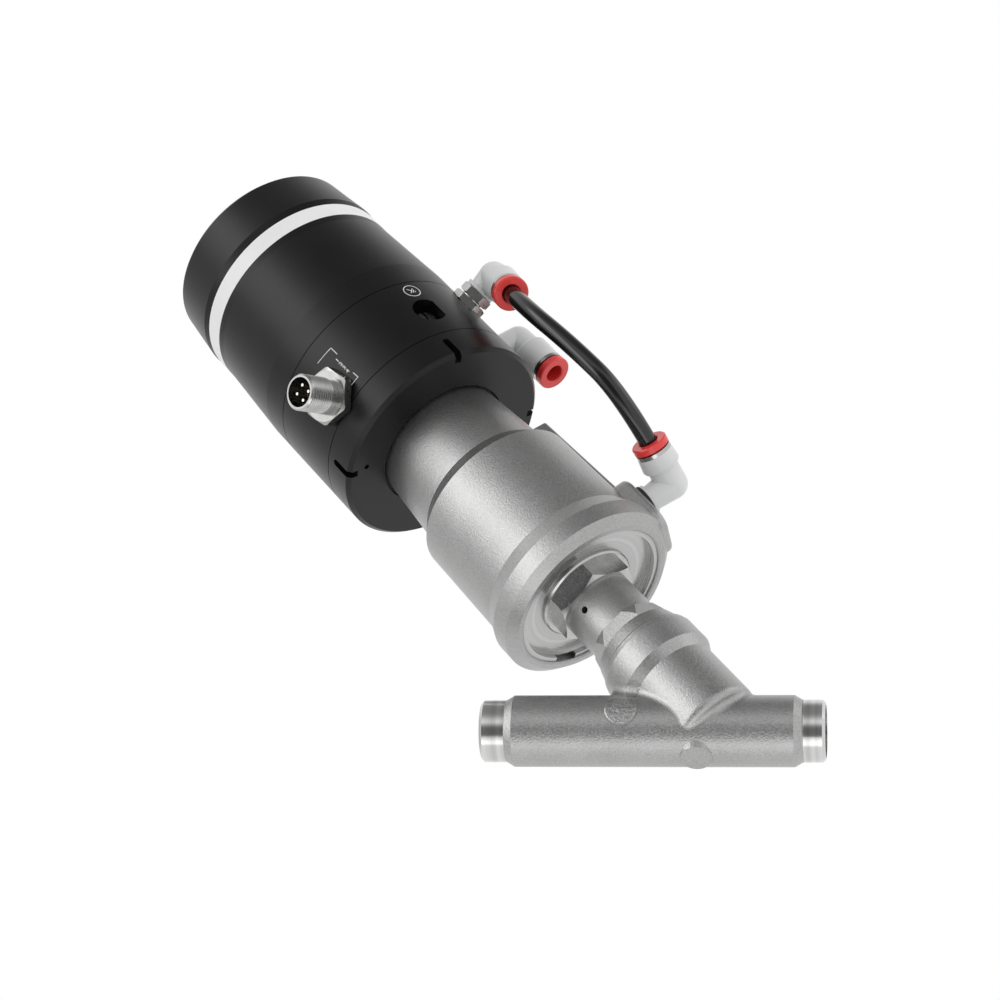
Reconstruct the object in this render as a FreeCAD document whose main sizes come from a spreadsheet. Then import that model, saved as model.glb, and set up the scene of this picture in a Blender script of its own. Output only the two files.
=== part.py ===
# Pneumatic control valve: an angle-seat valve body with weld ends, a single-acting piston actuator
# and a round positioner with M12 plug and push-in air elbows.
#
# Frame: millimetres, +Z up. The origin is the centre of the inlet weld face. The pipe runs along X,
# with the inlet at x = 0 and the outlet at the far negative end. The bonnet axis leaves the pipe
# upwards and back over the outlet, and the camera side of the valve is -Y.
#
# Stations are distances along the bonnet axis from the point where it crosses the pipe axis.
# Azimuths are angles about the bonnet axis: 0 is the -Y side, 90 is the side over the inlet.
import FreeCAD, Part
import Sketcher
import math
import os

doc = FreeCAD.newDocument("ControlValve")
sheet = doc.addObject("Spreadsheet::Sheet", "Sizes")

SIZES = [
    ("zero", 0.0),
    # valve body
    ("crossing_from_inlet", 32.0),
    ("pipe_length", 105.0),
    ("bonnet_lean", 40.0),
    ("pipe_rad", 10.93),
    ("stub_rad", 9.5),
    ("bore_rad", 8.0),
    ("inlet_stub_len", 7.0),
    ("outlet_stub_len", 7.7),
    ("stub_cone_len", 2.4),
    ("weld_bevel", 0.9),
    ("branch_rad", 15.0),
    ("branch_foot", 1.0),
    ("branch_foot_round", 2.6),
    ("branch_step_low", 23.5),
    ("branch_step_high", 26.9),
    ("collar_rad", 16.85),
    ("collar_round_low", 35.2),
    ("collar_round_mid", 37.0),
    ("collar_round_rad", 16.3),
    ("body_top", 37.6),
    ("body_top_rad", 15.65),
    ("chamber_rad", 11.0),
    ("chamber_corner_rad", 9.4),
    ("chamber_corner_high", 4.5),
    ("chamber_floor", 1.0),
    ("seat_wall", 2.6),
    ("seat_bore_rad", 6.75),
    ("seat_lip_rad", 8.2),
    ("seat_face", 2.2),
    ("bonnet_bore_rad", 12.4),
    ("bonnet_bore_floor", 29.8),
    ("branch_blend", 2.5),
    # bonnet
    ("cast_pad_at", 61.6),
    ("cast_pad_turn", 3.0),
    ("cast_pad_rad", 5.2),
    ("cast_pad_proud", 0.3),
    ("low_pad_at", 38.75),
    ("low_pad_root", 7.0),
    ("low_pad_root_rad", 7.2),
    ("low_pad_rad", 4.9),
    ("low_pad_proud", 0.15),
    ("low_pad_tilt", 9.0),
    ("gasket_thick", 0.8),
    ("gasket_inner_rad", 9.6),
    ("spigot_low", 30.6),
    ("wrench_low", 42.0),
    ("wrench_high", 47.5),
    ("wrench_flats", 24.3),
    ("wrench_azimuth", -22.0),
    ("wrench_top_rad", 12.75),
    ("tube_rad", 12.05),
    ("tube_top", 62.0),
    ("pivot_rad", 9.0),
    ("pivot_top", 76.4),
    ("packing_rad", 7.0),
    ("packing_bore_top", 60.0),
    ("spindle_rad", 4.0),
    ("guide_gap", 0.05),
    ("leak_hole_rad", 1.15),
    ("leak_hole_station", 57.6),
    ("leak_hole_azimuth", -41.0),
    ("gland_high", 36.0),
    ("packing_high", 46.0),
    ("packing_spring_high", 56.6),
    ("packing_spring_wire", 0.6),
    ("packing_spring_rad", 5.6),
    ("packing_spring_turns", 5.0),
    ("bush_len", 1.2),
    # swivel nut
    ("nut_flats", 26.0),
    ("nut_low", 62.0),
    ("nut_high", 67.9),
    ("nut_flange_rad", 16.6),
    ("nut_flange_high", 69.2),
    ("nut_chamfer_rad", 13.3),
    ("nut_corner_cut", 1.5),
    ("nut_bevel_len", 1.1),
    ("nut_edge", 0.5),
    # actuator end plate, snap ring and pivot clip
    ("swivel_gap", 0.05),
    ("plate_low", 69.25),
    ("plate_rim_low", 68.0),
    ("plate_rim_slope", 0.5),
    ("plate_step", 1.6),
    ("mouth_gap", 0.2),
    ("snap_bite", 0.9),
    ("rim_land", 1.3),
    ("plate_high", 73.3),
    ("plate_seal_deep", 1.2),
    ("plate_seal_low", 70.4),
    ("plate_seal_high", 72.4),
    ("snap_low", 66.5),
    ("snap_gap_azimuth", -150.0),
    ("snap_gap_half", 4.0),
    ("clip_high", 75.3),
    ("clip_low", 74.1),
    ("clip_rad", 11.0),
    ("clip_groove_rad", 8.2),
    # actuator housing
    ("foot_low", 65.6),
    ("foot_mouth_bevel", 0.5),
    ("foot_bevel_high", 68.4),
    ("foot_wall", 5.4),
    ("foot_bevel", 3.2),
    ("foot_high", 74.6),
    ("foot_cone_high", 80.6),
    ("barrel_wall", 4.75),
    ("barrel_high", 117.0),
    ("barrel_taper", 0.9),
    ("shoulder_high", 122.3),
    ("neck_low_rad", 24.6),
    ("neck_high", 158.4),
    ("neck_high_rad", 21.6),
    ("piston_bore_rad", 24.6),
    ("piston_bore_high", 110.0),
    ("spring_bore_rad", 19.0),
    ("spring_bore_low", 116.0),
    ("spring_bore_high", 141.0),
    ("rod_bore_rad", 3.05),
    # rib and air boss on the side of the actuator
    ("rib_azimuth", 96.0),
    ("rib_half", 6.5),
    ("rib_proud", 2.05),
    ("rib_top_proud", 0.75),
    ("rib_high", 131.0),
    ("rib_round", 1.0),
    ("boss_azimuth", 86.0),
    ("boss_width", 21.0),
    ("boss_proud", 3.65),
    ("boss_round", 6.0),
    ("boss_edge_round", 1.6),
    ("boss_low", 67.2),
    ("boss_high", 91.0),
    ("air_bore_rad", 2.2),
    # moving set
    ("stroke", 8.0),
    ("cone_low", -5.8),
    ("cone_len", 8.0),
    ("cone_tip_rad", 3.4),
    ("cone_rad", 6.6),
    ("seal_high", 5.2),
    ("seal_rad", 9.0),
    ("disc_high", 13.0),
    ("disc_rad", 9.6),
    ("disc_bevel", 1.0),
    ("spindle_neck_rad", 3.2),
    ("piston_low", 78.4),
    ("piston_high", 87.4),
    ("piston_gap", 0.1),
    ("piston_web_high", 82.4),
    ("piston_hub_rad", 9.0),
    ("piston_rim_wall", 4.1),
    ("piston_seal_low", 81.4),
    ("piston_seal_high", 84.4),
    ("piston_seal_depth", 2.6),
    ("piston_seal_gap", 0.02),
    ("piston_nut_flats", 10.0),
    ("piston_nut_high", 92.0),
    ("rod_high", 184.0),
    ("rod_rad", 3.0),
    ("target_low", 172.0),
    ("target_rad", 5.0),
    ("spring_wire_rad", 1.9),
    ("spring_mean_rad", 14.8),
    ("spring_turns", 6.0),
    # positioner
    ("posi_rad", 37.9),
    ("base_wall", 7.9),
    ("shell_taper", 1.75),
    ("shell_rim", 3.15),
    ("flange_low", 148.6),
    ("flange_thick", 11.8),
    ("flange_bevel", 1.3),
    ("seam_depth", 0.35),
    ("seam_width", 0.3),
    ("neck_pocket_rad", 23.4),
    ("neck_seal_inner_rad", 22.35),
    ("neck_seal_low", 150.2),
    ("neck_seal_high", 152.6),
    ("slot_half", 1.2),
    ("slot_length", 8.6),
    ("slot_depth", 3.6),
    ("slot_azimuth", 18.5),
    ("face_hole_rad", 0.9),
    ("face_hole_at", 31.0),
    ("face_hole_azimuth", -68.7),
    ("face_hole_deep", 4.0),
    ("base_floor", 166.0),
    ("sleeve_rad", 9.0),
    ("sleeve_bore_rad", 5.6),
    ("sleeve_high", 190.0),
    ("base_tall", 27.6),
    ("shell_tall", 43.0),
    ("cyl_tall", 10.0),
    ("cone_end", 2.8),
    ("ring_thick", 6.5),
    ("cap_edge_tall", 2.9),
    ("cap_tall", 21.5),
    ("cap_round_tall", 1.4),
    ("cap_roof_thick", 3.4),
    ("spigot_deep", 5.0),
    ("cap_step", 0.6),
    ("cap_flare", 0.75),
    ("cap_draft", 1.85),
    ("cap_round", 1.35),
    ("cap_wall", 1.6),
    ("cover_gap", 0.05),
    ("seal_deep", 3.4),
    ("seal_thick", 2.0),
    ("cover_seal_depth", 1.2),
    ("cover_seal_gap", 0.02),
    ("shell_floor", 6.0),
    ("board_low", 200.0),
    ("board_play", 2.0),
    ("board_thick", 1.6),
    ("post_rad", 2.6),
    ("post_at", 24.0),
    ("light_post_at", 26.5),
    ("post_azimuth", 15.0),
    ("pilot_azimuth", 150.0),
    ("light_board_low", 223.0),
    ("light_board_inner_rad", 22.0),
    ("pilot_width", 22.0),
    ("pilot_length", 15.0),
    ("pilot_back", 3.0),
    ("pilot_high", 186.0),
    # plug connector on the positioner
    ("plug_station", 168.0),
    ("plug_azimuth", -44.2),
    ("plug_spot_deep", 0.7),
    ("plug_nut_lift", 1.0),
    ("plug_nut_thick", 3.2),
    ("plug_neck_len", 2.2),
    ("plug_reach", 15.5),
    ("plug_inner_len", 9.2),
    ("plug_spot_rad", 7.5),
    ("plug_hole_rad", 6.9),
    ("plug_body_rad", 6.85),
    ("plug_shoulder_rad", 7.0),
    ("plug_thread_rad", 6.0),
    ("plug_pitch_rad", 5.7),
    ("plug_root_rad", 5.45),
    ("plug_half_pitch", 0.5),
    ("plug_thread_over", 0.05),
    ("plug_thread_len", 8.0),
    ("plug_lip_bevel", 0.5),
    ("plug_nut_turn", 10.0),
    ("plug_nut_round_rad", 9.5),
    ("plug_seal_rad", 7.4),
    ("plug_nut_flats", 17.0),
    ("plug_socket_rad", 4.9),
    ("plug_socket_depth", 8.2),
    ("pin_rad", 0.5),
    ("pin_circle_rad", 2.5),
    ("pin_length", 6.6),
    ("pin_turn", 45.0),
    # earth screw pocket
    ("earth_station", 172.4),
    ("earth_azimuth", 25.5),
    ("earth_pocket_rad", 5.6),
    ("earth_pocket_depth", 5.6),
    ("earth_flat_at", 4.1),
    ("earth_screw_rad", 3.0),
    ("earth_shank_rad", 1.9),
    ("earth_head_thick", 2.2),
    ("earth_shank_len", 3.4),
    ("earth_slot_width", 0.9),
    ("earth_slot_floor", 1.1),
    # push-in elbows
    ("port_rad", 4.9),
    ("port_depth", 7.0),
    ("thread_gap", 0.02),
    ("stud_turn", 0.0),
    ("lock_turn", 0.0),
    ("elbow_foot_len", 1.2),
    ("elbow_bend_rad", 5.2),
    ("elbow_arm_step", 6.6),
    ("elbow_shoulder_len", 1.2),
    ("elbow_shoulder_inset", 0.4),
    ("elbow_barrel_rad", 6.4),
    ("elbow_stop", 3.0),
    ("collet_bevel", 0.35),
    ("fit_spot_deep", 0.6),
    ("fit_spot_rad", 6.3),
    ("hex_bevel", 0.5),
    ("lock_flats", 10.8),
    ("lock_end_rad", 5.4),
    ("lock_corner_rad", 6.2),
    ("lock_thick", 2.8),
    ("stud_flats", 10.0),
    ("stud_end_rad", 5.0),
    ("stud_corner_rad", 5.75),
    ("stud_gap", 0.35),
    ("stud_thick", 3.3),
    ("stud_pipe_rad", 3.9),
    ("elbow_neck_rad", 4.3),
    ("elbow_foot_rad", 5.2),
    ("elbow_rad", 5.95),
    ("elbow_ring_rad", 5.9),
    ("elbow_ring_len", 1.3),
    ("collet_rad", 6.0),
    ("collet_head_len", 2.3),
    ("collet_gap", 0.6),
    ("collet_sleeve_rad", 4.2),
    ("collet_bore_rad", 3.08),
    ("collet_sleeve_len", 7.0),
    ("socket_rad", 4.26),
    ("socket_len", 15.5),
    ("one_station", 181.6),
    ("one_azimuth", 67.0),
    ("one_rise", 13.5),
    ("one_turn", -29.0),
    ("one_reach", 19.8),
    ("two_station", 178.4),
    ("two_azimuth", 104.5),
    ("two_rise", 14.3),
    ("two_turn", -3.5),
    ("two_reach", 21.2),
    ("three_station", 83.6),
    ("three_azimuth", 86.0),
    ("three_rise", 12.6),
    ("three_turn", -124.8),
    ("three_reach", 16.6),
    ("three_seal_rad", 5.6),
    ("three_seal_thick", 2.4),
    # air tube
    ("air_tube_rad", 3.0),
    ("air_tube_depth", 8.0),
    ("air_tube_pull_one", 20.0),
    ("air_tube_pull_three", 24.0),
    ("air_tube_share", 0.48),
]

# Sizes that follow from others.
SUMS = {
    "piston_rad": "piston_bore_rad - piston_gap",
    "piston_rim_rad": "piston_rad - piston_rim_wall",
    "barrel_low_rad": "piston_bore_rad + barrel_wall",
    "barrel_high_rad": "barrel_low_rad - barrel_taper",
    "plate_rad": "piston_bore_rad + plate_step",
    "plate_seal_rad": "plate_rad - plate_seal_deep",
    "rib_face": "barrel_low_rad + rib_proud",
    "rib_top_face": "barrel_high_rad + rib_top_proud",
    "boss_face": "barrel_low_rad + boss_proud",
    "three_corner": "boss_face + three_rise",
    "one_corner": "fit_seat + one_rise",
    "two_corner": "fit_seat + two_rise",
    "pilot_at": "base_cavity_rad - pilot_length - pilot_back",
    "foot_mouth_rad": "plate_rad + mouth_gap",
    "snap_outer_rad": "plate_rad + mouth_gap + snap_bite",
    "plate_rim_inner_rad": "plate_rad - rim_land",
    "snap_inner_rad": "plate_rad - rim_land",
    "foot_rad": "plate_rad + mouth_gap + foot_wall",
    "foot_bevel_rad": "plate_rad + mouth_gap + foot_wall - foot_bevel",
    "base_cavity_rad": "posi_rad - base_wall",
    "shell_top_rad": "posi_rad - shell_taper",
    "ring_rad": "posi_rad - shell_taper",
    "shell_bore_rad": "shell_top_rad - shell_rim",
    "cap_edge_rad": "shell_top_rad - cap_step",
    "cap_low_rad": "cap_edge_rad + cap_flare",
    "cap_high_rad": "cap_low_rad - cap_draft",
    "cap_face_rad": "cap_high_rad - cap_round",
    "cap_bore_rad": "shell_bore_rad - cap_wall",
    "board_rad": "shell_bore_rad - board_play",
    "flange_high": "flange_low + flange_thick",
    "base_high": "flange_high + base_tall",
    "shell_cyl_high": "base_high + cyl_tall",
    "shell_high": "base_high + shell_tall",
    "shell_cone_high": "shell_high - cone_end",
    "ring_high": "shell_high + ring_thick",
    "cap_bevel_high": "ring_high + cap_edge_tall",
    "cap_high": "ring_high + cap_tall",
    "cap_round_low": "cap_high - cap_round_tall",
    "cap_roof": "cap_high - cap_roof_thick",
    "cap_spigot_low": "shell_high - spigot_deep",
    "cover_seal_low": "shell_high - seal_deep",
    "cover_seal_high": "cover_seal_low + seal_thick",
    "plug_seat": "posi_rad - plug_spot_deep",
    "plug_nut_low": "plug_seat + plug_nut_lift",
    "plug_nut_high": "plug_nut_low + plug_nut_thick",
    "plug_neck_high": "plug_nut_high + plug_neck_len",
    "plug_face": "posi_rad + plug_reach",
    "plug_inner_end": "plug_seat - plug_inner_len",
    "fit_seat": "posi_rad - fit_spot_deep",
}

for number, (alias, value) in enumerate(SIZES, start=1):
    sheet.set("A%d" % number, alias)
    sheet.set("B%d" % number, str(value))
    sheet.setAlias("B%d" % number, alias)
doc.recompute()

nodes = []


def terms(text):
    """The signs and cell names of a sum, with every name of SUMS spelled out."""
    found = []
    sign = 1
    for word in text.split():
        if word in ("+", "-"):
            sign = 1 if word == "+" else -1
        elif word in SUMS:
            found.extend((sign * inner, name) for inner, name in terms(SUMS[word]))
        else:
            found.append((sign, word))
    return found


def val(text):
    """Value of a named size, or of a sum such as "name + name - name"."""
    return sum(sign * float(sheet.get(name)) for sign, name in terms(text))


def bound(text):
    """The same sum as an expression on the sheet."""
    parts = [("+ " if sign > 0 else "- ") + "Sizes." + name for sign, name in terms(text)]
    return " ".join(parts).removeprefix("+ ")


def less(high, low):
    """The sum of high minus the whole of low."""
    flipped = []
    for word in low.split():
        if word == "+":
            flipped.append("-")
        elif word == "-":
            flipped.append("+")
        else:
            flipped.append(word)
    return high + " - " + " ".join(flipped)


UP = FreeCAD.Vector(-math.sin(math.radians(val("bonnet_lean"))), 0, math.cos(math.radians(val("bonnet_lean"))))
CROSSING = FreeCAD.Vector(-val("crossing_from_inlet"), 0, 0)
TILT = FreeCAD.Rotation(FreeCAD.Vector(0, 1, 0), -val("bonnet_lean"))


def on_axis(station=0.0):
    """Placement whose Z runs along the bonnet axis, with its zero at the given station."""
    return FreeCAD.Placement(CROSSING + UP * station, TILT)


def outward(azimuth):
    """Unit vector square to the bonnet axis at the given azimuth."""
    angle = math.radians(azimuth)
    return TILT.multVec(FreeCAD.Vector(math.sin(angle), -math.cos(angle), 0))


def on_side(station, azimuth, turn=0.0):
    """Placement on the bonnet axis whose Z points outwards and whose X points to the foot, turned about Z."""
    z_axis = outward(azimuth)
    x_axis = UP * -1
    y_axis = z_axis.cross(x_axis)
    rotation = FreeCAD.Rotation(x_axis, y_axis, z_axis, "ZXY")
    spin = FreeCAD.Rotation(FreeCAD.Vector(0, 0, 1), turn)
    return FreeCAD.Placement(CROSSING + UP * station, rotation.multiply(spin))


def origin_plane(body, role):
    return [item for item in body.Origin.OriginFeatures if item.Role == role][0]


def new_body(label):
    body = doc.addObject("PartDesign::Body", label)
    body.Label = label
    return body


def new_sketch(body, role, name):
    sketch = body.newObject("Sketcher::SketchObject", name)
    sketch.AttachmentSupport = [(origin_plane(body, role), "")]
    sketch.MapMode = "FlatFace"
    return sketch


def draw_profile(sketch, points):
    """Closed outline whose corners are held by named distances from the sketch origin.

    A corner is (name across, name along). None across puts it on the vertical axis.
    """
    count = len(points)
    corners = []
    for across, along in points:
        x_value = 0.0 if across is None else val(across)
        corners.append(FreeCAD.Vector(x_value, val(along), 0))
    for index in range(count):
        sketch.addGeometry(Part.LineSegment(corners[index], corners[(index + 1) % count]), False)
    for index in range(count):
        sketch.addConstraint(Sketcher.Constraint("Coincident", index, 2, (index + 1) % count, 1))
    for index, (across, along) in enumerate(points):
        if across is None:
            sketch.addConstraint(Sketcher.Constraint("PointOnObject", index, 1, -2))
        else:
            place = sketch.addConstraint(Sketcher.Constraint("DistanceX", -1, 1, index, 1, val(across)))
            sketch.setExpression("Constraints[%d]" % place, bound(across))
        place = sketch.addConstraint(Sketcher.Constraint("DistanceY", -1, 1, index, 1, val(along)))
        sketch.setExpression("Constraints[%d]" % place, bound(along))


def turned(label, points, placement=None, keep=True):
    """A body of revolution about its own Z, drawn as (radius, height) corners."""
    body = new_body(label)
    sketch = new_sketch(body, "XZ_Plane", label + "_profile")
    draw_profile(sketch, points)
    feature = body.newObject("PartDesign::Revolution", label + "_turn")
    feature.Profile = sketch
    feature.ReferenceAxis = (sketch, ["V_Axis"])
    feature.Angle = 360.0
    body.Placement = placement if placement is not None else on_axis()
    if keep:
        nodes.append(body)
    return body


def grooved(body, name, points):
    """Cuts a turned groove, drawn as (radius, height) corners, out of a body."""
    sketch = new_sketch(body, "XZ_Plane", name + "_profile")
    draw_profile(sketch, points)
    feature = body.newObject("PartDesign::Groove", name)
    feature.Profile = sketch
    feature.ReferenceAxis = (sketch, ["V_Axis"])
    feature.Angle = 360.0
    return feature


def side_sketch(body, name, azimuth, out_name):
    """Sketch whose plane faces outwards at an azimuth, at a named distance from the axis."""
    sketch = new_sketch(body, "XZ_Plane", name)
    turn = val(azimuth)
    out = val(out_name)
    sketch.AttachmentOffset = FreeCAD.Placement(
        FreeCAD.Vector(out * math.sin(math.radians(turn)), 0, out * math.cos(math.radians(turn))),
        FreeCAD.Rotation(FreeCAD.Vector(0, 1, 0), turn),
    )
    angle = "(%s) * 1 deg" % bound(azimuth)
    sketch.setExpression("AttachmentOffset.Base.x", "(%s) * sin(%s)" % (bound(out_name), angle))
    sketch.setExpression("AttachmentOffset.Base.z", "(%s) * cos(%s)" % (bound(out_name), angle))
    return sketch


def round_on(sketch, height, radius):
    """Circle on the sketch's vertical axis at a named height."""
    circle = Part.Circle(FreeCAD.Vector(0, val(height), 0), FreeCAD.Vector(0, 0, 1), val(radius))
    sketch.addGeometry(circle, False)
    sketch.addConstraint(Sketcher.Constraint("PointOnObject", 0, 3, -2))
    place = sketch.addConstraint(Sketcher.Constraint("DistanceY", -1, 1, 0, 3, val(height)))
    sketch.setExpression("Constraints[%d]" % place, bound(height))
    place = sketch.addConstraint(Sketcher.Constraint("Radius", 0, val(radius)))
    sketch.setExpression("Constraints[%d]" % place, bound(radius))


def pocket(body, name, sketch, depth):
    feature = body.newObject("PartDesign::Pocket", name)
    feature.Profile = sketch
    feature.Type = 0
    feature.Length = val(depth)
    feature.setExpression("Length", bound(depth))
    body.Tip = feature
    return feature


def cylinder(name, radius, height, base=(0, 0, 0), direction=None):
    item = doc.addObject("Part::Cylinder", name)
    item.setExpression("Radius", bound(radius))
    item.setExpression("Height", bound(height))
    rotation = FreeCAD.Rotation()
    if direction is not None:
        rotation = FreeCAD.Rotation(FreeCAD.Vector(0, 0, 1), direction)
    item.Placement = FreeCAD.Placement(FreeCAD.Vector(*base), rotation)
    return item


def cone(name, radius_low, radius_high, height, base=(0, 0, 0), direction=None):
    item = doc.addObject("Part::Cone", name)
    item.setExpression("Radius1", bound(radius_low))
    item.setExpression("Radius2", bound(radius_high))
    item.setExpression("Height", bound(height))
    rotation = FreeCAD.Rotation()
    if direction is not None:
        rotation = FreeCAD.Rotation(FreeCAD.Vector(0, 0, 1), direction)
    item.Placement = FreeCAD.Placement(FreeCAD.Vector(*base), rotation)
    return item


def hexagon(name, flats, height, base=(0, 0, 0), turn=0.0):
    item = doc.addObject("Part::Prism", name)
    item.Polygon = 6
    item.setExpression("Circumradius", "(%s) / 2 / cos(30 deg)" % bound(flats))
    item.setExpression("Height", bound(height))
    item.Placement = FreeCAD.Placement(FreeCAD.Vector(*base), FreeCAD.Rotation(FreeCAD.Vector(0, 0, 1), turn))
    return item


def fused(name, items):
    joined = doc.addObject("Part::MultiFuse", name)
    joined.Shapes = items
    joined.Refine = True
    return joined


def cut(name, base, tool):
    result = doc.addObject("Part::Cut", name)
    result.Base = base
    result.Tool = tool
    return result


def shared(name, items):
    result = doc.addObject("Part::MultiCommon", name)
    result.Shapes = items
    return result


def placed(item, label, placement):
    item.Label = label
    item.Placement = placement
    nodes.append(item)
    return item


X_AXIS = FreeCAD.Vector(1, 0, 0)

# Valve body: cast Y pattern with weld ends. The pipe outline is turned from end to end, the branch
# is turned on the bonnet axis, and the two ways meet at the wall that carries the seat.
pipe = turned(
    "pipe_outline",
    [
        (None, "zero"),
        ("stub_rad - weld_bevel", "zero"),
        ("stub_rad", "weld_bevel"),
        ("stub_rad", "inlet_stub_len"),
        ("pipe_rad", "inlet_stub_len + stub_cone_len"),
        ("pipe_rad", "pipe_length - outlet_stub_len - stub_cone_len"),
        ("stub_rad", "pipe_length - outlet_stub_len"),
        ("stub_rad", "pipe_length - weld_bevel"),
        ("stub_rad - weld_bevel", "pipe_length"),
        (None, "pipe_length"),
    ],
    FreeCAD.Placement(FreeCAD.Vector(0, 0, 0), FreeCAD.Rotation(FreeCAD.Vector(0, 1, 0), -90)),
    keep=False,
)
branch = turned(
    "branch_outline",
    [
        (None, "branch_foot"),
        ("branch_rad", "branch_foot"),
        ("branch_rad", "branch_step_low"),
        ("collar_rad", "branch_step_high"),
        ("collar_rad", "collar_round_low"),
        ("collar_round_rad", "collar_round_mid"),
        ("body_top_rad", "body_top"),
        (None, "body_top"),
    ],
    keep=False,
)
branch_round = doc.addObject("Part::Fillet", "branch_round")
branch_round.Base = branch
doc.recompute()
foot_centre = on_axis(val("branch_foot")).Base
branch_round.Edges = [
    (number + 1, val("branch_foot_round"), val("branch_foot_round"))
    for number, edge in enumerate(branch.Shape.Edges)
    if isinstance(edge.Curve, Part.Circle) and (edge.Curve.Center - foot_centre).Length < val("nut_edge")
]
joined = fused("pipe_and_branch", [pipe, branch_round])
doc.recompute()


def lies_on_pipe(face):
    """True for the pipe's own round face."""
    return isinstance(face.Surface, Part.Cylinder) and abs(face.Surface.Radius - val("pipe_rad")) < 0.01


# The fillet runs where the branch meets the pipe: edges with the pipe on one side and something else on the other.
meeting = []
for number, edge in enumerate(joined.Shape.Edges):
    sides = [face for face in joined.Shape.Faces if any(edge.isSame(own) for own in face.Edges)]
    on_pipe = [lies_on_pipe(face) for face in sides]
    inside_x = -val("pipe_length - outlet_stub_len - stub_cone_len") + 0.1 < edge.BoundBox.XMin
    inside_x = inside_x and edge.BoundBox.XMax < -val("inlet_stub_len + stub_cone_len") - 0.1
    if any(on_pipe) and not all(on_pipe) and inside_x:
        meeting.append((number + 1, val("branch_blend"), val("branch_blend")))
blend = doc.addObject("Part::Fillet", "branch_blend_fillet")
blend.Base = joined
blend.Edges = meeting

# A round cast pad on the front of the pipe, and a drafted pad under the seat.
pad_skin = turned(
    "pad_skin_outline",
    [
        (None, "cast_pad_at - cast_pad_rad - nut_edge"),
        ("pipe_rad + cast_pad_proud", "cast_pad_at - cast_pad_rad - nut_edge"),
        ("pipe_rad + cast_pad_proud", "cast_pad_at + cast_pad_rad + nut_edge"),
        (None, "cast_pad_at + cast_pad_rad + nut_edge"),
    ],
    FreeCAD.Placement(FreeCAD.Vector(0, 0, 0), FreeCAD.Rotation(FreeCAD.Vector(0, 1, 0), -90)),
    keep=False,
)
pad_way = FreeCAD.Vector(0, -math.cos(math.radians(val("cast_pad_turn"))), math.sin(math.radians(val("cast_pad_turn"))))
pad_core = cylinder("pad_core", "cast_pad_rad", "pipe_rad + pipe_rad", base=(-val("cast_pad_at"), 0, 0), direction=pad_way)
cast_pad = shared("cast_pad", [pad_skin, pad_core])
low_pad_way = FreeCAD.Vector(0, -math.sin(math.radians(val("low_pad_tilt"))), -math.cos(math.radians(val("low_pad_tilt"))))
drafted_pad = cone(
    "drafted_pad",
    "low_pad_root_rad",
    "low_pad_rad",
    "pipe_rad + low_pad_proud - low_pad_root",
    base=(-val("low_pad_at"), low_pad_way.y * val("low_pad_root"), low_pad_way.z * val("low_pad_root")),
    direction=low_pad_way,
)
body_blank = fused("body_blank", [blend, cast_pad, drafted_pad])
chamber = turned(
    "chamber_cutter",
    [
        (None, "seat_face"),
        ("seat_lip_rad", "seat_face"),
        ("seat_lip_rad", "chamber_floor"),
        ("chamber_corner_rad", "chamber_floor"),
        ("chamber_rad", "chamber_corner_high"),
        ("chamber_rad", "bonnet_bore_floor"),
        ("bonnet_bore_rad", "bonnet_bore_floor"),
        ("bonnet_bore_rad", "body_top + seat_face"),
        (None, "body_top + seat_face"),
    ],
    keep=False,
)
seat_bore = cylinder("seat_bore", "seat_bore_rad", "seat_wall + seat_face + seat_face")
seat_bore.Placement = on_axis(val("chamber_floor - seat_wall"))
inlet_bore = cylinder("inlet_bore", "bore_rad", "crossing_from_inlet + bore_rad", direction=FreeCAD.Vector(-1, 0, 0))
inlet_side = cylinder("inlet_side", "pipe_length", "pipe_length", direction=FreeCAD.Vector(0, 0, -1))
inlet_side.Placement = on_axis(val("chamber_floor - seat_wall")).multiply(inlet_side.Placement)
inlet_way = shared("inlet_way", [inlet_bore, inlet_side])
outlet_bore = cylinder(
    "outlet_bore",
    "bore_rad",
    "pipe_length - crossing_from_inlet - stub_rad",
    base=(-val("pipe_length"), 0, 0),
    direction=X_AXIS,
)
outlet_side = cylinder("outlet_side", "pipe_length", "pipe_length + pipe_length")
outlet_side.Placement = on_axis(val("chamber_floor"))
outlet_way = shared("outlet_way", [outlet_bore, outlet_side])
body_ways = fused("body_ways", [chamber, seat_bore, inlet_way, outlet_way])
valve_body = cut("valve_body_solid", body_blank, body_ways)
placed(valve_body, "valve_body", FreeCAD.Placement())

# Bonnet: screwed into the body collar, with wrench flats, leak hole and the pivot for the actuator.
bonnet = turned(
    "bonnet",
    [
        ("spindle_rad + guide_gap", "packing_bore_top"),
        ("packing_rad", "packing_bore_top"),
        ("packing_rad", "spigot_low"),
        ("bonnet_bore_rad", "spigot_low"),
        ("bonnet_bore_rad", "body_top"),
        ("body_top_rad", "body_top"),
        ("wrench_top_rad", "wrench_high"),
        ("tube_rad", "wrench_high"),
        ("tube_rad", "tube_top"),
        ("pivot_rad", "tube_top"),
        ("pivot_rad", "clip_low - swivel_gap"),
        ("clip_groove_rad", "clip_low - swivel_gap"),
        ("clip_groove_rad", "clip_high + swivel_gap"),
        ("pivot_rad", "clip_high + swivel_gap"),
        ("pivot_rad", "pivot_top"),
        ("spindle_rad + guide_gap", "pivot_top"),
    ],
)
hole_sketch = side_sketch(bonnet, "leak_hole_circle", "leak_hole_azimuth", "tube_rad")
round_on(hole_sketch, "leak_hole_station", "leak_hole_rad")
pocket(bonnet, "leak_hole", hole_sketch, "tube_rad - spindle_rad - guide_gap")
flat_sketch = new_sketch(bonnet, "XY_Plane", "wrench_outline")
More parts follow.
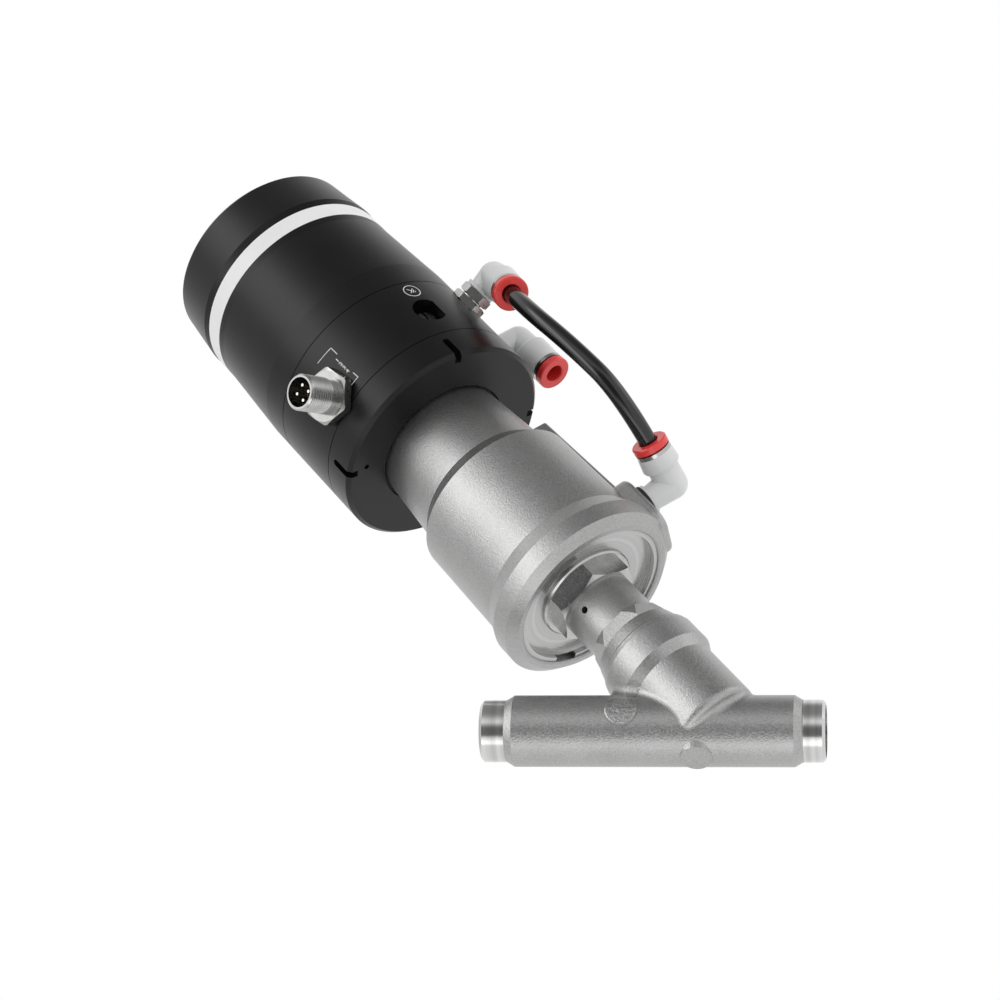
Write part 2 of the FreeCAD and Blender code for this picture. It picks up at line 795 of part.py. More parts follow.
flat_sketch.AttachmentOffset = FreeCAD.Placement(
    FreeCAD.Vector(0, 0, val("wrench_low")),
    FreeCAD.Rotation(FreeCAD.Vector(0, 0, 1), val("wrench_azimuth")),
)
flat_sketch.setExpression("AttachmentOffset.Base.z", bound("wrench_low"))
corner_rad = val("wrench_flats") / 2 / math.cos(math.pi / 6)
hex_points = []
for index in range(6):
    angle = math.radians(60 * index)
    hex_points.append(FreeCAD.Vector(corner_rad * math.cos(angle), corner_rad * math.sin(angle), 0))
for index in range(6):
    flat_sketch.addGeometry(Part.LineSegment(hex_points[index], hex_points[(index + 1) % 6]), False)
guide = flat_sketch.addGeometry(Part.Circle(FreeCAD.Vector(0, 0, 0), FreeCAD.Vector(0, 0, 1), corner_rad), True)
for index in range(6):
    flat_sketch.addConstraint(Sketcher.Constraint("Coincident", index, 2, (index + 1) % 6, 1))
    flat_sketch.addConstraint(Sketcher.Constraint("PointOnObject", index, 1, guide))
for index in range(5):
    flat_sketch.addConstraint(Sketcher.Constraint("Equal", index, index + 1))
flat_sketch.addConstraint(Sketcher.Constraint("PointOnObject", 0, 1, -1))
flat_sketch.addConstraint(Sketcher.Constraint("Coincident", guide, 3, -1, 1))
flat_place = flat_sketch.addConstraint(Sketcher.Constraint("Radius", guide, corner_rad))
flat_sketch.setExpression("Constraints[%d]" % flat_place, "Sizes.wrench_flats / 2 / cos(30 deg)")
outer_ring = flat_sketch.addGeometry(
    Part.Circle(FreeCAD.Vector(0, 0, 0), FreeCAD.Vector(0, 0, 1), val("body_top_rad + seat_wall")), False
)
flat_sketch.addConstraint(Sketcher.Constraint("Coincident", outer_ring, 3, -1, 1))
ring_place = flat_sketch.addConstraint(Sketcher.Constraint("Radius", outer_ring, val("body_top_rad + seat_wall")))
flat_sketch.setExpression("Constraints[%d]" % ring_place, bound("body_top_rad + seat_wall"))
flats = pocket(bonnet, "wrench_flats_cut", flat_sketch, "wrench_high - wrench_low")
flats.Reversed = True

turned(
    "bonnet_gasket",
    [
        ("gasket_inner_rad", "bonnet_bore_floor"),
        ("bonnet_bore_rad", "bonnet_bore_floor"),
        ("bonnet_bore_rad", "spigot_low"),
        ("gasket_inner_rad", "spigot_low"),
    ],
)
turned(
    "packing_gland",
    [
        ("spindle_rad + guide_gap", "spigot_low"),
        ("packing_rad", "spigot_low"),
        ("packing_rad", "gland_high"),
        ("spindle_rad + guide_gap", "gland_high"),
    ],
)
turned(
    "spindle_packing",
    [
        ("spindle_rad + guide_gap", "gland_high"),
        ("packing_rad", "gland_high"),
        ("packing_rad", "packing_high"),
        ("spindle_rad + guide_gap", "packing_high"),
    ],
)


def coil(label, low, high, mean_rad, wire_rad, turns, placement):
    """Helical spring between two named stations, swept round its own axis."""
    helix = doc.addObject("Part::Helix", label + "_path")
    helix.setExpression("Pitch", "((%s) - 2 * Sizes.%s) / Sizes.%s" % (bound(high + " - " + low), wire_rad, turns))
    helix.setExpression("Height", "(%s) - 2 * Sizes.%s" % (bound(high + " - " + low), wire_rad))
    helix.setExpression("Radius", bound(mean_rad))
    section = doc.addObject("Part::Circle", label + "_wire")
    section.setExpression("Radius", bound(wire_rad))
    section.Placement = FreeCAD.Placement(
        FreeCAD.Vector(val(mean_rad), 0, 0), FreeCAD.Rotation(FreeCAD.Vector(1, 0, 0), 90)
    )
    section.setExpression("Placement.Base.x", bound(mean_rad))
    swept = doc.addObject("Part::Sweep", label + "_sweep")
    swept.Sections = [section]
    swept.Spine = helix
    swept.Solid = True
    swept.Frenet = True
    start = placement.multiply(FreeCAD.Placement(FreeCAD.Vector(0, 0, val(low + " + " + wire_rad)), FreeCAD.Rotation()))
    return placed(swept, label, start)


coil(
    "packing_spring",
    "packing_high",
    "packing_spring_high",
    "packing_spring_rad",
    "packing_spring_wire",
    "packing_spring_turns",
    on_axis(),
)
turned(
    "guide_bush",
    [
        ("spindle_rad + guide_gap", "packing_bore_top - bush_len"),
        ("packing_rad", "packing_bore_top - bush_len"),
        ("packing_rad", "packing_bore_top"),
        ("spindle_rad + guide_gap", "packing_bore_top"),
    ],
)

# Nut under the actuator: rounded hexagon with a round flange, corners towards the viewer.
nut_blank = hexagon("nut_blank", "nut_flats", "nut_high - nut_low", base=(0, 0, val("nut_low")), turn=30)
nut_form = turned(
    "nut_form",
    [
        (None, "nut_low"),
        ("nut_chamfer_rad", "nut_low"),
        ("nut_flange_rad - nut_corner_cut", "nut_low + nut_bevel_len"),
        ("nut_flange_rad - nut_corner_cut", "nut_high"),
        (None, "nut_high"),
    ],
    FreeCAD.Placement(),
    keep=False,
)
nut_hex = shared("nut_hex", [nut_blank, nut_form])
nut_flange = turned(
    "nut_flange",
    [
        (None, "nut_high"),
        ("nut_flange_rad - nut_edge", "nut_high"),
        ("nut_flange_rad", "nut_high + nut_edge"),
        ("nut_flange_rad", "nut_flange_high"),
        (None, "nut_flange_high"),
    ],
    FreeCAD.Placement(),
    keep=False,
)
nut_solid = fused("nut_solid", [nut_hex, nut_flange])
nut_bore = cylinder("nut_bore", "pivot_rad", "plate_high")
placed(cut("nut_cut", nut_solid, nut_bore), "swivel_nut", on_axis())

# Actuator: end plate and rings that close the foot, then the cast housing.
turned(
    "actuator_end_plate",
    [
        ("pivot_rad + swivel_gap", "plate_low"),
        ("plate_rim_inner_rad - plate_rim_slope", "plate_low"),
        ("plate_rim_inner_rad", "plate_rim_low"),
        ("plate_rad", "plate_rim_low"),
        ("plate_rad", "plate_high"),
        ("clip_rad + nut_edge", "plate_high"),
        ("pivot_rad + swivel_gap", "plate_high"),
    ],
)
plate_groove = grooved(
    nodes[-1],
    "end_plate_seal_groove",
    [
        ("plate_seal_rad", "plate_seal_low"),
        ("plate_rad + zero", "plate_seal_low"),
        ("plate_rad + zero", "plate_seal_high"),
        ("plate_seal_rad", "plate_seal_high"),
    ],
)
turned(
    "end_plate_seal",
    [
        ("plate_seal_rad", "plate_seal_low"),
        ("plate_rad", "plate_seal_low"),
        ("plate_rad", "plate_seal_high"),
        ("plate_seal_rad", "plate_seal_high"),
    ],
)
snap_ring = turned(
    "snap_ring",
    [
        ("snap_inner_rad", "snap_low"),
        ("snap_outer_rad", "snap_low"),
        ("snap_outer_rad", "plate_rim_low"),
        ("snap_inner_rad", "plate_rim_low"),
    ],
)
gap_sketch = side_sketch(snap_ring, "snap_gap_outline", "snap_gap_azimuth", "snap_outer_rad + nut_edge")


def box_on(sketch, half_across, low, high):
    """Rectangle centred across the sketch's vertical axis between two named heights."""
    wide = val(half_across)
    corners = [
        FreeCAD.Vector(-wide, val(low), 0),
        FreeCAD.Vector(wide, val(low), 0),
        FreeCAD.Vector(wide, val(high), 0),
        FreeCAD.Vector(-wide, val(high), 0),
    ]
    for index in range(4):
        sketch.addGeometry(Part.LineSegment(corners[index], corners[(index + 1) % 4]), False)
    for index in range(4):
        sketch.addConstraint(Sketcher.Constraint("Coincident", index, 2, (index + 1) % 4, 1))
    sketch.addConstraint(Sketcher.Constraint("Vertical", 1))
    sketch.addConstraint(Sketcher.Constraint("Symmetric", 0, 1, 0, 2, -2))
    sketch.addConstraint(Sketcher.Constraint("Symmetric", 2, 1, 2, 2, -2))
    place = sketch.addConstraint(Sketcher.Constraint("DistanceX", -1, 1, 1, 1, wide))
    sketch.setExpression("Constraints[%d]" % place, bound(half_across))
    place = sketch.addConstraint(Sketcher.Constraint("DistanceY", -1, 1, 1, 1, val(low)))
    sketch.setExpression("Constraints[%d]" % place, bound(low))
    place = sketch.addConstraint(Sketcher.Constraint("DistanceY", -1, 1, 2, 1, val(high)))
    sketch.setExpression("Constraints[%d]" % place, bound(high))


box_on(gap_sketch, "snap_gap_half", "snap_low - nut_edge", "plate_rim_low + nut_edge")
pocket(snap_ring, "snap_gap", gap_sketch, "snap_outer_rad - snap_inner_rad + nut_edge + nut_edge")

turned(
    "pivot_clip",
    [
        ("clip_groove_rad", "clip_low"),
        ("clip_rad", "clip_low"),
        ("clip_rad", "clip_high"),
        ("clip_groove_rad", "clip_high"),
    ],
)
housing_outline = turned(
    "housing_outline",
    [
        (None, "foot_low"),
        ("foot_bevel_rad", "foot_low"),
        ("foot_rad", "foot_bevel_high"),
        ("foot_rad", "foot_high"),
        ("barrel_low_rad", "foot_cone_high"),
        ("barrel_high_rad", "barrel_high"),
        ("neck_low_rad", "shoulder_high"),
        ("neck_high_rad", "neck_high"),
        (None, "neck_high"),
    ],
    FreeCAD.Placement(),
    keep=False,
)
rib = doc.addObject("Part::Wedge", "side_rib")
for corner, words in (
    ("Xmin", "zero - rib_half"),
    ("Xmax", "rib_half"),
    ("X2min", "zero - rib_half"),
    ("X2max", "rib_half"),
    ("Ymin", "zero"),
    ("Ymax", "rib_high - foot_cone_high"),
    ("Zmin", "zero"),
    ("Z2min", "zero"),
    ("Zmax", "rib_face"),
    ("Z2max", "rib_top_face"),
):
    rib.setExpression(corner, bound(words))
LAID_TO_STOOD = FreeCAD.Rotation(FreeCAD.Vector(0, 1, 1), 180)


def outward_here(azimuth):
    angle = math.radians(azimuth)
    return FreeCAD.Vector(math.sin(angle), -math.cos(angle), 0)


def beside(item, azimuth, half_width, low):
    """Stands a box on the axis so that it reaches outwards at an azimuth."""
    turn = FreeCAD.Rotation(FreeCAD.Vector(0, 0, 1), azimuth + 180)
    shift = turn.multVec(FreeCAD.Vector(-half_width, 0, low))
    item.Placement = FreeCAD.Placement(shift, turn)


rib.Placement = FreeCAD.Placement(
    FreeCAD.Vector(0, 0, val("foot_cone_high")),
    FreeCAD.Rotation(FreeCAD.Vector(0, 0, 1), val("rib_azimuth") + 180).multiply(LAID_TO_STOOD),
)
doc.recompute()
rib_rounded = doc.addObject("Part::Fillet", "side_rib_rounded")
rib_rounded.Base = rib
rib_rounded.Edges = [
    (number, val("rib_round"), val("rib_round"))
    for number, edge in enumerate(rib.Shape.Edges, start=1)
    if min(vertex.Point.cross(FreeCAD.Vector(0, 0, 1)).Length for vertex in edge.Vertexes) > val("rib_top_face") - val("nut_edge")
    and edge.BoundBox.ZMax > val("foot_cone_high + nut_edge")
]
boss = doc.addObject("Part::Box", "air_boss")
boss.setExpression("Length", "Sizes.boss_width")
boss.setExpression("Width", bound("boss_face"))
boss.setExpression("Height", bound("boss_high - boss_low"))
beside(boss, val("boss_azimuth"), val("boss_width") / 2, val("boss_low"))
boss_round = doc.addObject("Part::Fillet", "air_boss_rounded")
boss_round.Base = boss
doc.recompute()
boss_edges = []
for number, edge in enumerate(boss.Shape.Edges, start=1):
    along = boss.Placement.Rotation.inverted().multVec(edge.Vertexes[1].Point - edge.Vertexes[0].Point)
    if abs(along.y) > abs(along.x) + abs(along.z):
        boss_edges.append((number, val("boss_round"), val("boss_round")))
boss_round.Edges = boss_edges
doc.recompute()
boss_soft = doc.addObject("Part::Fillet", "air_boss_softened")
boss_soft.Base = boss_round
boss_soft.Edges = [
    (number, val("boss_edge_round"), val("boss_edge_round"))
    for number, edge in enumerate(boss_round.Shape.Edges, start=1)
    if all(abs(vertex.Point.dot(outward_here(val("boss_azimuth"))) - val("boss_face")) < 0.01 for vertex in edge.Vertexes)
]
housing_blank = fused("housing_blank", [housing_outline, rib_rounded, boss_soft])
housing_space = turned(
    "housing_space",
    [
        (None, "foot_low - nut_edge"),
        ("foot_mouth_rad + foot_mouth_bevel", "foot_low - nut_edge"),
        ("foot_mouth_rad + foot_mouth_bevel", "foot_low"),
        ("foot_mouth_rad", "foot_low + foot_mouth_bevel"),
        ("foot_mouth_rad", "snap_low"),
        ("snap_outer_rad", "snap_low"),
        ("snap_outer_rad", "plate_rim_low"),
        ("plate_rad", "plate_rim_low"),
        ("plate_rad", "plate_high"),
        ("piston_bore_rad", "plate_high"),
        ("piston_bore_rad", "piston_bore_high"),
        ("spring_bore_rad", "spring_bore_low"),
        ("spring_bore_rad", "spring_bore_high"),
        ("rod_bore_rad", "spring_bore_high"),
        ("rod_bore_rad", "neck_high + nut_edge"),
        (None, "neck_high + nut_edge"),
    ],
    FreeCAD.Placement(),
    keep=False,
)
air_hole = cylinder(
    "air_hole",
    "air_bore_rad",
    "boss_face + nut_edge",
    base=(0, 0, val("three_station")),
    direction=outward_here(val("three_azimuth")),
)
air_port = cylinder(
    "air_port",
    "port_rad",
    "port_depth",
    base=outward_here(val("three_azimuth")) * val("boss_face - port_depth + zero") + FreeCAD.Vector(0, 0, val("three_station")),
    direction=outward_here(val("three_azimuth")),
)
housing_cutter = fused("housing_cutter", [housing_space, air_hole, air_port])
placed(cut("housing_cut", housing_blank, housing_cutter), "actuator_housing", on_axis())

# Moving set: regulating cone, plug disc with its seal, spindle, piston and position rod.
turned(
    "regulating_cone",
    [
        (None, "zero"),
        ("cone_tip_rad", "zero"),
        ("cone_rad", "cone_len"),
        (None, "cone_len"),
    ],
    on_axis(val("cone_low")),
)
turned(
    "plug_seal",
    [
        (None, "seat_face"),
        ("seal_rad", "seat_face"),
        ("seal_rad", "seal_high"),
        (None, "seal_high"),
    ],
)
turned(
    "plug_disc",
    [
        (None, "seal_high"),
        ("disc_rad", "seal_high"),
        ("disc_rad", "disc_high - disc_bevel"),
        ("disc_rad - disc_bevel", "disc_high"),
        (None, "disc_high"),
    ],
)
turned(
    "spindle",
    [
        (None, "disc_high"),
        ("spindle_rad", "disc_high"),
        ("spindle_rad", "piston_low"),
        ("spindle_neck_rad", "piston_low"),
        ("spindle_neck_rad", "piston_nut_high"),
        (None, "piston_nut_high"),
    ],
)
turned(
    "piston",
    [
        ("spindle_neck_rad", "piston_low"),
        ("piston_rad", "piston_low"),
        ("piston_rad", "piston_seal_low"),
        ("piston_rad - piston_seal_depth", "piston_seal_low"),
        ("piston_rad - piston_seal_depth", "piston_seal_high"),
        ("piston_rad", "piston_seal_high"),
        ("piston_rad", "piston_high"),
        ("piston_rim_rad", "piston_high"),
        ("piston_rim_rad", "piston_web_high"),
        ("piston_hub_rad", "piston_web_high"),
        ("piston_hub_rad", "piston_high"),
        ("spindle_neck_rad", "piston_high"),
    ],
)
turned(
    "piston_seal",
    [
        ("piston_rad - piston_seal_depth", "piston_seal_low"),
        ("piston_bore_rad - piston_seal_gap", "piston_seal_low"),
        ("piston_bore_rad - piston_seal_gap", "piston_seal_high"),
        ("piston_rad - piston_seal_depth", "piston_seal_high"),
    ],
)
piston_nut_blank = hexagon("piston_nut_blank", "piston_nut_flats", "piston_nut_high - piston_high", base=(0, 0, val("piston_high")))
piston_nut_bore = cylinder("piston_nut_bore", "spindle_neck_rad", "piston_nut_high", base=(0, 0, 0))
placed(cut("piston_nut_cut", piston_nut_blank, piston_nut_bore), "piston_nut", on_axis())
turned(
    "position_rod",
    [
        (None, "piston_nut_high"),
        ("rod_rad", "piston_nut_high"),
        ("rod_rad", "target_low"),
        ("target_rad", "target_low"),
        ("target_rad", "rod_high"),
        (None, "rod_high"),
    ],
)
coil(
    "return_spring",
    "piston_web_high",
    "spring_bore_high",
    "spring_mean_rad",
    "spring_wire_rad",
    "spring_turns",
    on_axis(),
)
turned(
    "neck_seal",
    [
        ("neck_seal_inner_rad", "neck_seal_low"),
        ("neck_pocket_rad", "neck_seal_low"),
        ("neck_pocket_rad", "neck_seal_high"),
        ("neck_seal_inner_rad", "neck_seal_high"),
    ],
)

# Positioner: mounting flange, connection block, shell, light ring and screw-off cover.
flange = turned(
    "positioner_flange",
    [
        ("neck_pocket_rad", "flange_low"),
        ("posi_rad - flange_bevel", "flange_low"),
        ("posi_rad", "flange_low + flange_bevel"),
        ("posi_rad", "flange_high - seam_width"),
        ("posi_rad - seam_depth", "flange_high - seam_width"),
        ("posi_rad - seam_depth", "flange_high"),
        ("rod_bore_rad", "flange_high"),
        ("rod_bore_rad", "neck_high"),
        ("neck_pocket_rad", "neck_high"),
    ],
)
slot_sketch = side_sketch(flange, "slot_outline", "slot_azimuth", "posi_rad + nut_edge")
box_on(slot_sketch, "slot_half", "flange_low - nut_edge", "flange_low + slot_length - slot_half")
slot = pocket(flange, "side_slot", slot_sketch, "slot_depth + nut_edge")
slot_end_sketch = side_sketch(flange, "slot_end_outline", "slot_azimuth", "posi_rad + nut_edge")
round_on(slot_end_sketch, "flange_low + slot_length - slot_half", "slot_half")
slot_end = pocket(flange, "side_slot_end", slot_end_sketch, "slot_depth + nut_edge")
slots = flange.newObject("PartDesign::PolarPattern", "side_slots")
slots.Originals = [slot, slot_end]
slots.Axis = (next(item for item in flange.Origin.OriginFeatures if item.Role == "Z_Axis"), [""])
slots.Angle = 360.0
slots.Occurrences = 4
flange.Tip = slots
hole_sketch = new_sketch(flange, "XY_Plane", "face_hole_outline")
hole_sketch.AttachmentOffset = FreeCAD.Placement(
    FreeCAD.Vector(0, 0, val("flange_low")),
    FreeCAD.Rotation(FreeCAD.Vector(0, 0, 1), val("face_hole_azimuth") + 180),
)
hole_sketch.setExpression("AttachmentOffset.Base.z", bound("flange_low"))
round_on(hole_sketch, "face_hole_at", "face_hole_rad")
pocket(flange, "face_hole", hole_sketch, "face_hole_deep").Reversed = True
base = turned(
    "positioner_base",
    [
        ("sleeve_bore_rad", "flange_high"),
        ("posi_rad", "flange_high"),
        ("posi_rad", "base_high - seam_width"),
        ("posi_rad - seam_depth", "base_high - seam_width"),
        ("posi_rad - seam_depth", "base_high"),
        ("base_cavity_rad", "base_high"),
        ("base_cavity_rad", "base_floor"),
        ("sleeve_rad", "base_floor"),
        ("sleeve_rad", "sleeve_high"),
        ("sleeve_bore_rad", "sleeve_high"),
    ],
)


def round_pocket(body, name, station, azimuth, out, radius, depth):
    """Round hole bored inwards from a named distance out."""
    sketch = side_sketch(body, name + "_circle", azimuth, out)
    round_on(sketch, station, radius)
    return pocket(body, name, sketch, depth)


round_pocket(base, "plug_spot", "plug_station", "plug_azimuth", "posi_rad + nut_edge", "plug_spot_rad", "posi_rad + nut_edge - plug_seat")
round_pocket(base, "plug_hole", "plug_station", "plug_azimuth", "plug_seat", "plug_hole_rad", "plug_seat - plug_inner_end")
round_pocket(base, "port_one_spot", "one_station", "one_azimuth", "posi_rad + nut_edge", "fit_spot_rad", "posi_rad + nut_edge - fit_seat")
round_pocket(base, "port_one", "one_station", "one_azimuth", "fit_seat", "port_rad", "port_depth")
round_pocket(base, "port_two_spot", "two_station", "two_azimuth", "posi_rad + nut_edge", "fit_spot_rad", "posi_rad + nut_edge - fit_seat")
round_pocket(base, "port_two", "two_station", "two_azimuth", "fit_seat", "port_rad", "port_depth")
earth_sketch = side_sketch(base, "earth_outline", "earth_azimuth", "posi_rad + nut_edge")
earth_rad = val("earth_pocket_rad")
earth_flat = val("earth_flat_at")
earth_rise = math.sqrt(earth_rad * earth_rad - earth_flat * earth_flat)
earth_height = val("earth_station")
earth_arc = Part.ArcOfCircle(
    Part.Circle(FreeCAD.Vector(0, earth_height, 0), FreeCAD.Vector(0, 0, 1), earth_rad),
    math.atan2(earth_rise, earth_flat),
    2 * math.pi - math.atan2(earth_rise, earth_flat),
)
earth_sketch.addGeometry(earth_arc, False)
earth_sketch.addGeometry(
    Part.LineSegment(
        FreeCAD.Vector(earth_flat, earth_height - earth_rise, 0), FreeCAD.Vector(earth_flat, earth_height + earth_rise, 0)
    ),
    False,
)
earth_sketch.addConstraint(Sketcher.Constraint("Coincident", 0, 2, 1, 1))
earth_sketch.addConstraint(Sketcher.Constraint("Coincident", 1, 2, 0, 1))
earth_sketch.addConstraint(Sketcher.Constraint("Vertical", 1))
earth_sketch.addConstraint(Sketcher.Constraint("PointOnObject", 0, 3, -2))
for kind, name in (("DistanceY", "earth_station"), ("Radius", "earth_pocket_rad"), ("DistanceX", "earth_flat_at")):
    if kind == "DistanceY":
        place = earth_sketch.addConstraint(Sketcher.Constraint(kind, -1, 1, 0, 3, val(name)))
    elif kind == "Radius":
        place = earth_sketch.addConstraint(Sketcher.Constraint(kind, 0, val(name)))
    else:
        place = earth_sketch.addConstraint(Sketcher.Constraint(kind, -1, 1, 1, 1, val(name)))
    earth_sketch.setExpression("Constraints[%d]" % place, bound(name))
pocket(base, "earth_pocket", earth_sketch, "earth_pocket_depth + nut_edge")
round_pocket(
    base, "earth_thread", "earth_station", "earth_azimuth", "posi_rad - earth_pocket_depth", "earth_shank_rad", "earth_shank_len"
)

turned(
    "positioner_shell",
    [
        ("base_cavity_rad", "base_high"),
        ("posi_rad", "base_high"),
        ("posi_rad", "shell_cyl_high"),
        ("shell_top_rad", "shell_cone_high"),
        ("shell_top_rad", "shell_high"),
        ("shell_bore_rad", "shell_high"),
        ("shell_bore_rad", "base_high + shell_floor"),
        ("base_cavity_rad", "base_high + shell_floor"),
    ],
)
turned(
    "light_ring",
    [
        ("shell_bore_rad", "shell_high"),
        ("ring_rad", "shell_high"),
        ("ring_rad", "ring_high - swivel_gap"),
        ("shell_bore_rad", "ring_high - swivel_gap"),
    ],
)
turned(
    "cover",
    [
        (None, "cap_roof"),
        ("cap_bore_rad", "cap_roof"),
        ("cap_bore_rad", "cap_spigot_low"),
        ("shell_bore_rad - cover_gap", "cap_spigot_low"),
        ("shell_bore_rad - cover_gap", "cover_seal_low"),
        ("shell_bore_rad - cover_seal_depth", "cover_seal_low"),
        ("shell_bore_rad - cover_seal_depth", "cover_seal_high"),
        ("shell_bore_rad - cover_gap", "cover_seal_high"),
        ("shell_bore_rad - cover_gap", "ring_high"),
        ("cap_edge_rad", "ring_high"),
        ("cap_low_rad", "cap_bevel_high"),
        ("cap_high_rad", "cap_round_low"),
        ("cap_face_rad", "cap_high"),
        (None, "cap_high"),
    ],
)
turned(
    "cover_seal",
    [
        ("shell_bore_rad - cover_seal_depth", "cover_seal_low"),
        ("shell_bore_rad - cover_seal_gap", "cover_seal_low"),
        ("shell_bore_rad - cover_seal_gap", "cover_seal_high"),
        ("shell_bore_rad - cover_seal_depth", "cover_seal_high"),
    ],
)

# Inside the positioner: circuit board and light board on posts, and the pilot valve block.
turned(
    "circuit_board",
    [
        (None, "board_low"),
        ("board_rad", "board_low"),
        ("board_rad", "board_low + board_thick"),
        (None, "board_low + board_thick"),
    ],
)
turned(
    "light_board",
    [
        ("light_board_inner_rad", "light_board_low"),
        ("board_rad", "light_board_low"),
        ("board_rad", "light_board_low + board_thick"),
        ("light_board_inner_rad", "light_board_low + board_thick"),
    ],
)


def ring_of(name, count, first, radius, at, low, high):
    """Equal round posts standing parallel to the axis on a circle."""
    posts = []
    for index in range(count):
        angle = math.radians(first + 360.0 * index / count)
        posts.append(
            cylinder(
                "%s_%d" % (name, index + 1),
                radius,
                less(high, low),
                base=(val(at) * math.sin(angle), -val(at) * math.cos(angle), val(low)),
            )
        )
    group = doc.addObject("Part::Compound", name)
    group.Links = posts
    return group


lower_posts = ring_of("lower_posts", 4, val("post_azimuth"), "post_rad", "post_at", "base_floor", "board_low")
upper_posts = ring_of("upper_posts", 4, val("post_azimuth"), "post_rad", "light_post_at", "board_low + board_thick", "light_board_low")
placed(lower_posts, "board_posts", on_axis())
placed(upper_posts, "light_board_posts", on_axis())
pilot = doc.addObject("Part::Box", "pilot_block_box")
pilot.setExpression("Length", "Sizes.pilot_width")
pilot.setExpression("Width", "Sizes.pilot_length")
pilot.setExpression("Height", bound("pilot_high - base_floor"))
beside(pilot, val("pilot_azimuth"), val("pilot_width") / 2, val("base_floor"))
pilot_shift = outward_here(val("pilot_azimuth")) * val("pilot_at")
pilot_place = on_axis().multiply(FreeCAD.Placement(pilot_shift, FreeCAD.Rotation())).multiply(pilot.Placement)
placed(pilot, "pilot_valve", pilot_place)

# Round plug on the positioner, standing outwards on its own spot face.
plug_frame = on_side(val("plug_station"), val("plug_azimuth"))
plug_shell = turned(
    "plug_shell",
    [
        ("plug_socket_rad", "plug_inner_end"),
        ("plug_body_rad", "plug_inner_end"),
        ("plug_body_rad", "plug_seat"),
        ("plug_shoulder_rad", "plug_seat"),
        ("plug_shoulder_rad", "plug_nut_low"),
        ("plug_pitch_rad", "plug_nut_low"),
        ("plug_pitch_rad", "plug_nut_high + swivel_gap"),
        ("plug_thread_rad", "plug_nut_high + swivel_gap"),
        ("plug_thread_rad", "plug_face - plug_lip_bevel"),
        ("plug_thread_rad - plug_lip_bevel", "plug_face"),
        ("plug_socket_rad", "plug_face"),
    ],
    plug_frame,
)
thread = grooved(
    plug_shell,
    "plug_thread_groove",
    [
        ("plug_thread_rad + plug_thread_over", "plug_neck_high"),
        ("plug_root_rad", "plug_neck_high + plug_half_pitch"),
        ("plug_thread_rad + plug_thread_over", "plug_neck_high + plug_half_pitch + plug_half_pitch"),
    ],
)
threads = plug_shell.newObject("PartDesign::LinearPattern", "plug_threads")
threads.Originals = [thread]
threads.Direction = (thread.Profile[0], ["V_Axis"])
threads.Length = val("plug_thread_len")
threads.setExpression("Length", bound("plug_thread_len"))
threads.Occurrences = 9
plug_shell.Tip = threads
turned(
    "plug_insert",
    [
        (None, "plug_inner_end"),
        ("plug_socket_rad", "plug_inner_end"),
        ("plug_socket_rad", "plug_face - plug_socket_depth"),
        (None, "plug_face - plug_socket_depth"),
    ],
    plug_frame,
)
pins = []
for index in range(4):
    angle = math.radians(val("pin_turn") + 90.0 * index)
    pins.append(
        cylinder(
            "plug_pin_%d" % (index + 1),
            "pin_rad",
            "pin_length",
            base=(
                val("pin_circle_rad") * math.cos(angle),
                val("pin_circle_rad") * math.sin(angle),
                val("plug_face - plug_socket_depth"),
            ),
        )
    )
pin_group = doc.addObject("Part::Compound", "plug_pin_group")
pin_group.Links = pins
placed(pin_group, "plug_pins", plug_frame)
plug_nut_blank = hexagon("plug_nut_blank", "plug_nut_flats", "plug_nut_high - plug_nut_low", base=(0, 0, val("plug_nut_low")), turn=val("plug_nut_turn"))
plug_nut_form = turned(
    "plug_nut_form",
    [
        ("plug_pitch_rad", "plug_nut_low"),
        ("plug_nut_round_rad", "plug_nut_low"),
        ("plug_nut_round_rad", "plug_nut_high - nut_edge"),
        ("plug_nut_round_rad - nut_bevel_len", "plug_nut_high"),
        ("plug_pitch_rad", "plug_nut_high"),
    ],
    FreeCAD.Placement(),
    keep=False,
)
placed(shared("plug_nut_common", [plug_nut_blank, plug_nut_form]), "plug_nut", plug_frame)
turned(
    "plug_flange_seal",
    [
        ("plug_shoulder_rad", "plug_seat"),
        ("plug_seal_rad", "plug_seat"),
        ("plug_seal_rad", "plug_nut_low"),
        ("plug_shoulder_rad", "plug_nut_low"),
    ],
    plug_frame,
)

# Earth screw in its pocket.
earth_frame = on_side(val("earth_station"), val("earth_azimuth"))
turned(
    "earth_screw_outline",
    [
        (None, "posi_rad - earth_pocket_depth - earth_shank_len"),
        ("earth_shank_rad", "posi_rad - earth_pocket_depth - earth_shank_len"),
        ("earth_shank_rad", "posi_rad - earth_pocket_depth"),
        ("earth_screw_rad", "posi_rad - earth_pocket_depth"),
        ("earth_screw_rad", "posi_rad - earth_pocket_depth + earth_head_thick"),
        (None, "posi_rad - earth_pocket_depth + earth_head_thick"),
    ],
    FreeCAD.Placement(),
    keep=False,
)
earth_slot = doc.addObject("Part::Box", "earth_slot")
earth_slot.setExpression("Length", bound("earth_screw_rad + earth_screw_rad + nut_edge + nut_edge"))
earth_slot.setExpression("Width", "Sizes.earth_slot_width")
earth_slot.setExpression("Height", "Sizes.earth_head_thick")
earth_slot.Placement = FreeCAD.Placement(
    FreeCAD.Vector(
        -val("earth_screw_rad") - 0.5,
        -val("earth_slot_width") / 2,
        val("posi_rad - earth_pocket_depth + earth_slot_floor"),
    ),
    FreeCAD.Rotation(),
)
placed(cut("earth_screw_cut", doc.getObject("earth_screw_outline"), earth_slot), "earth_screw", earth_frame)

# Push-in elbows. Each stands on its own frame: Z leaves the valve, X leaves through the collet.


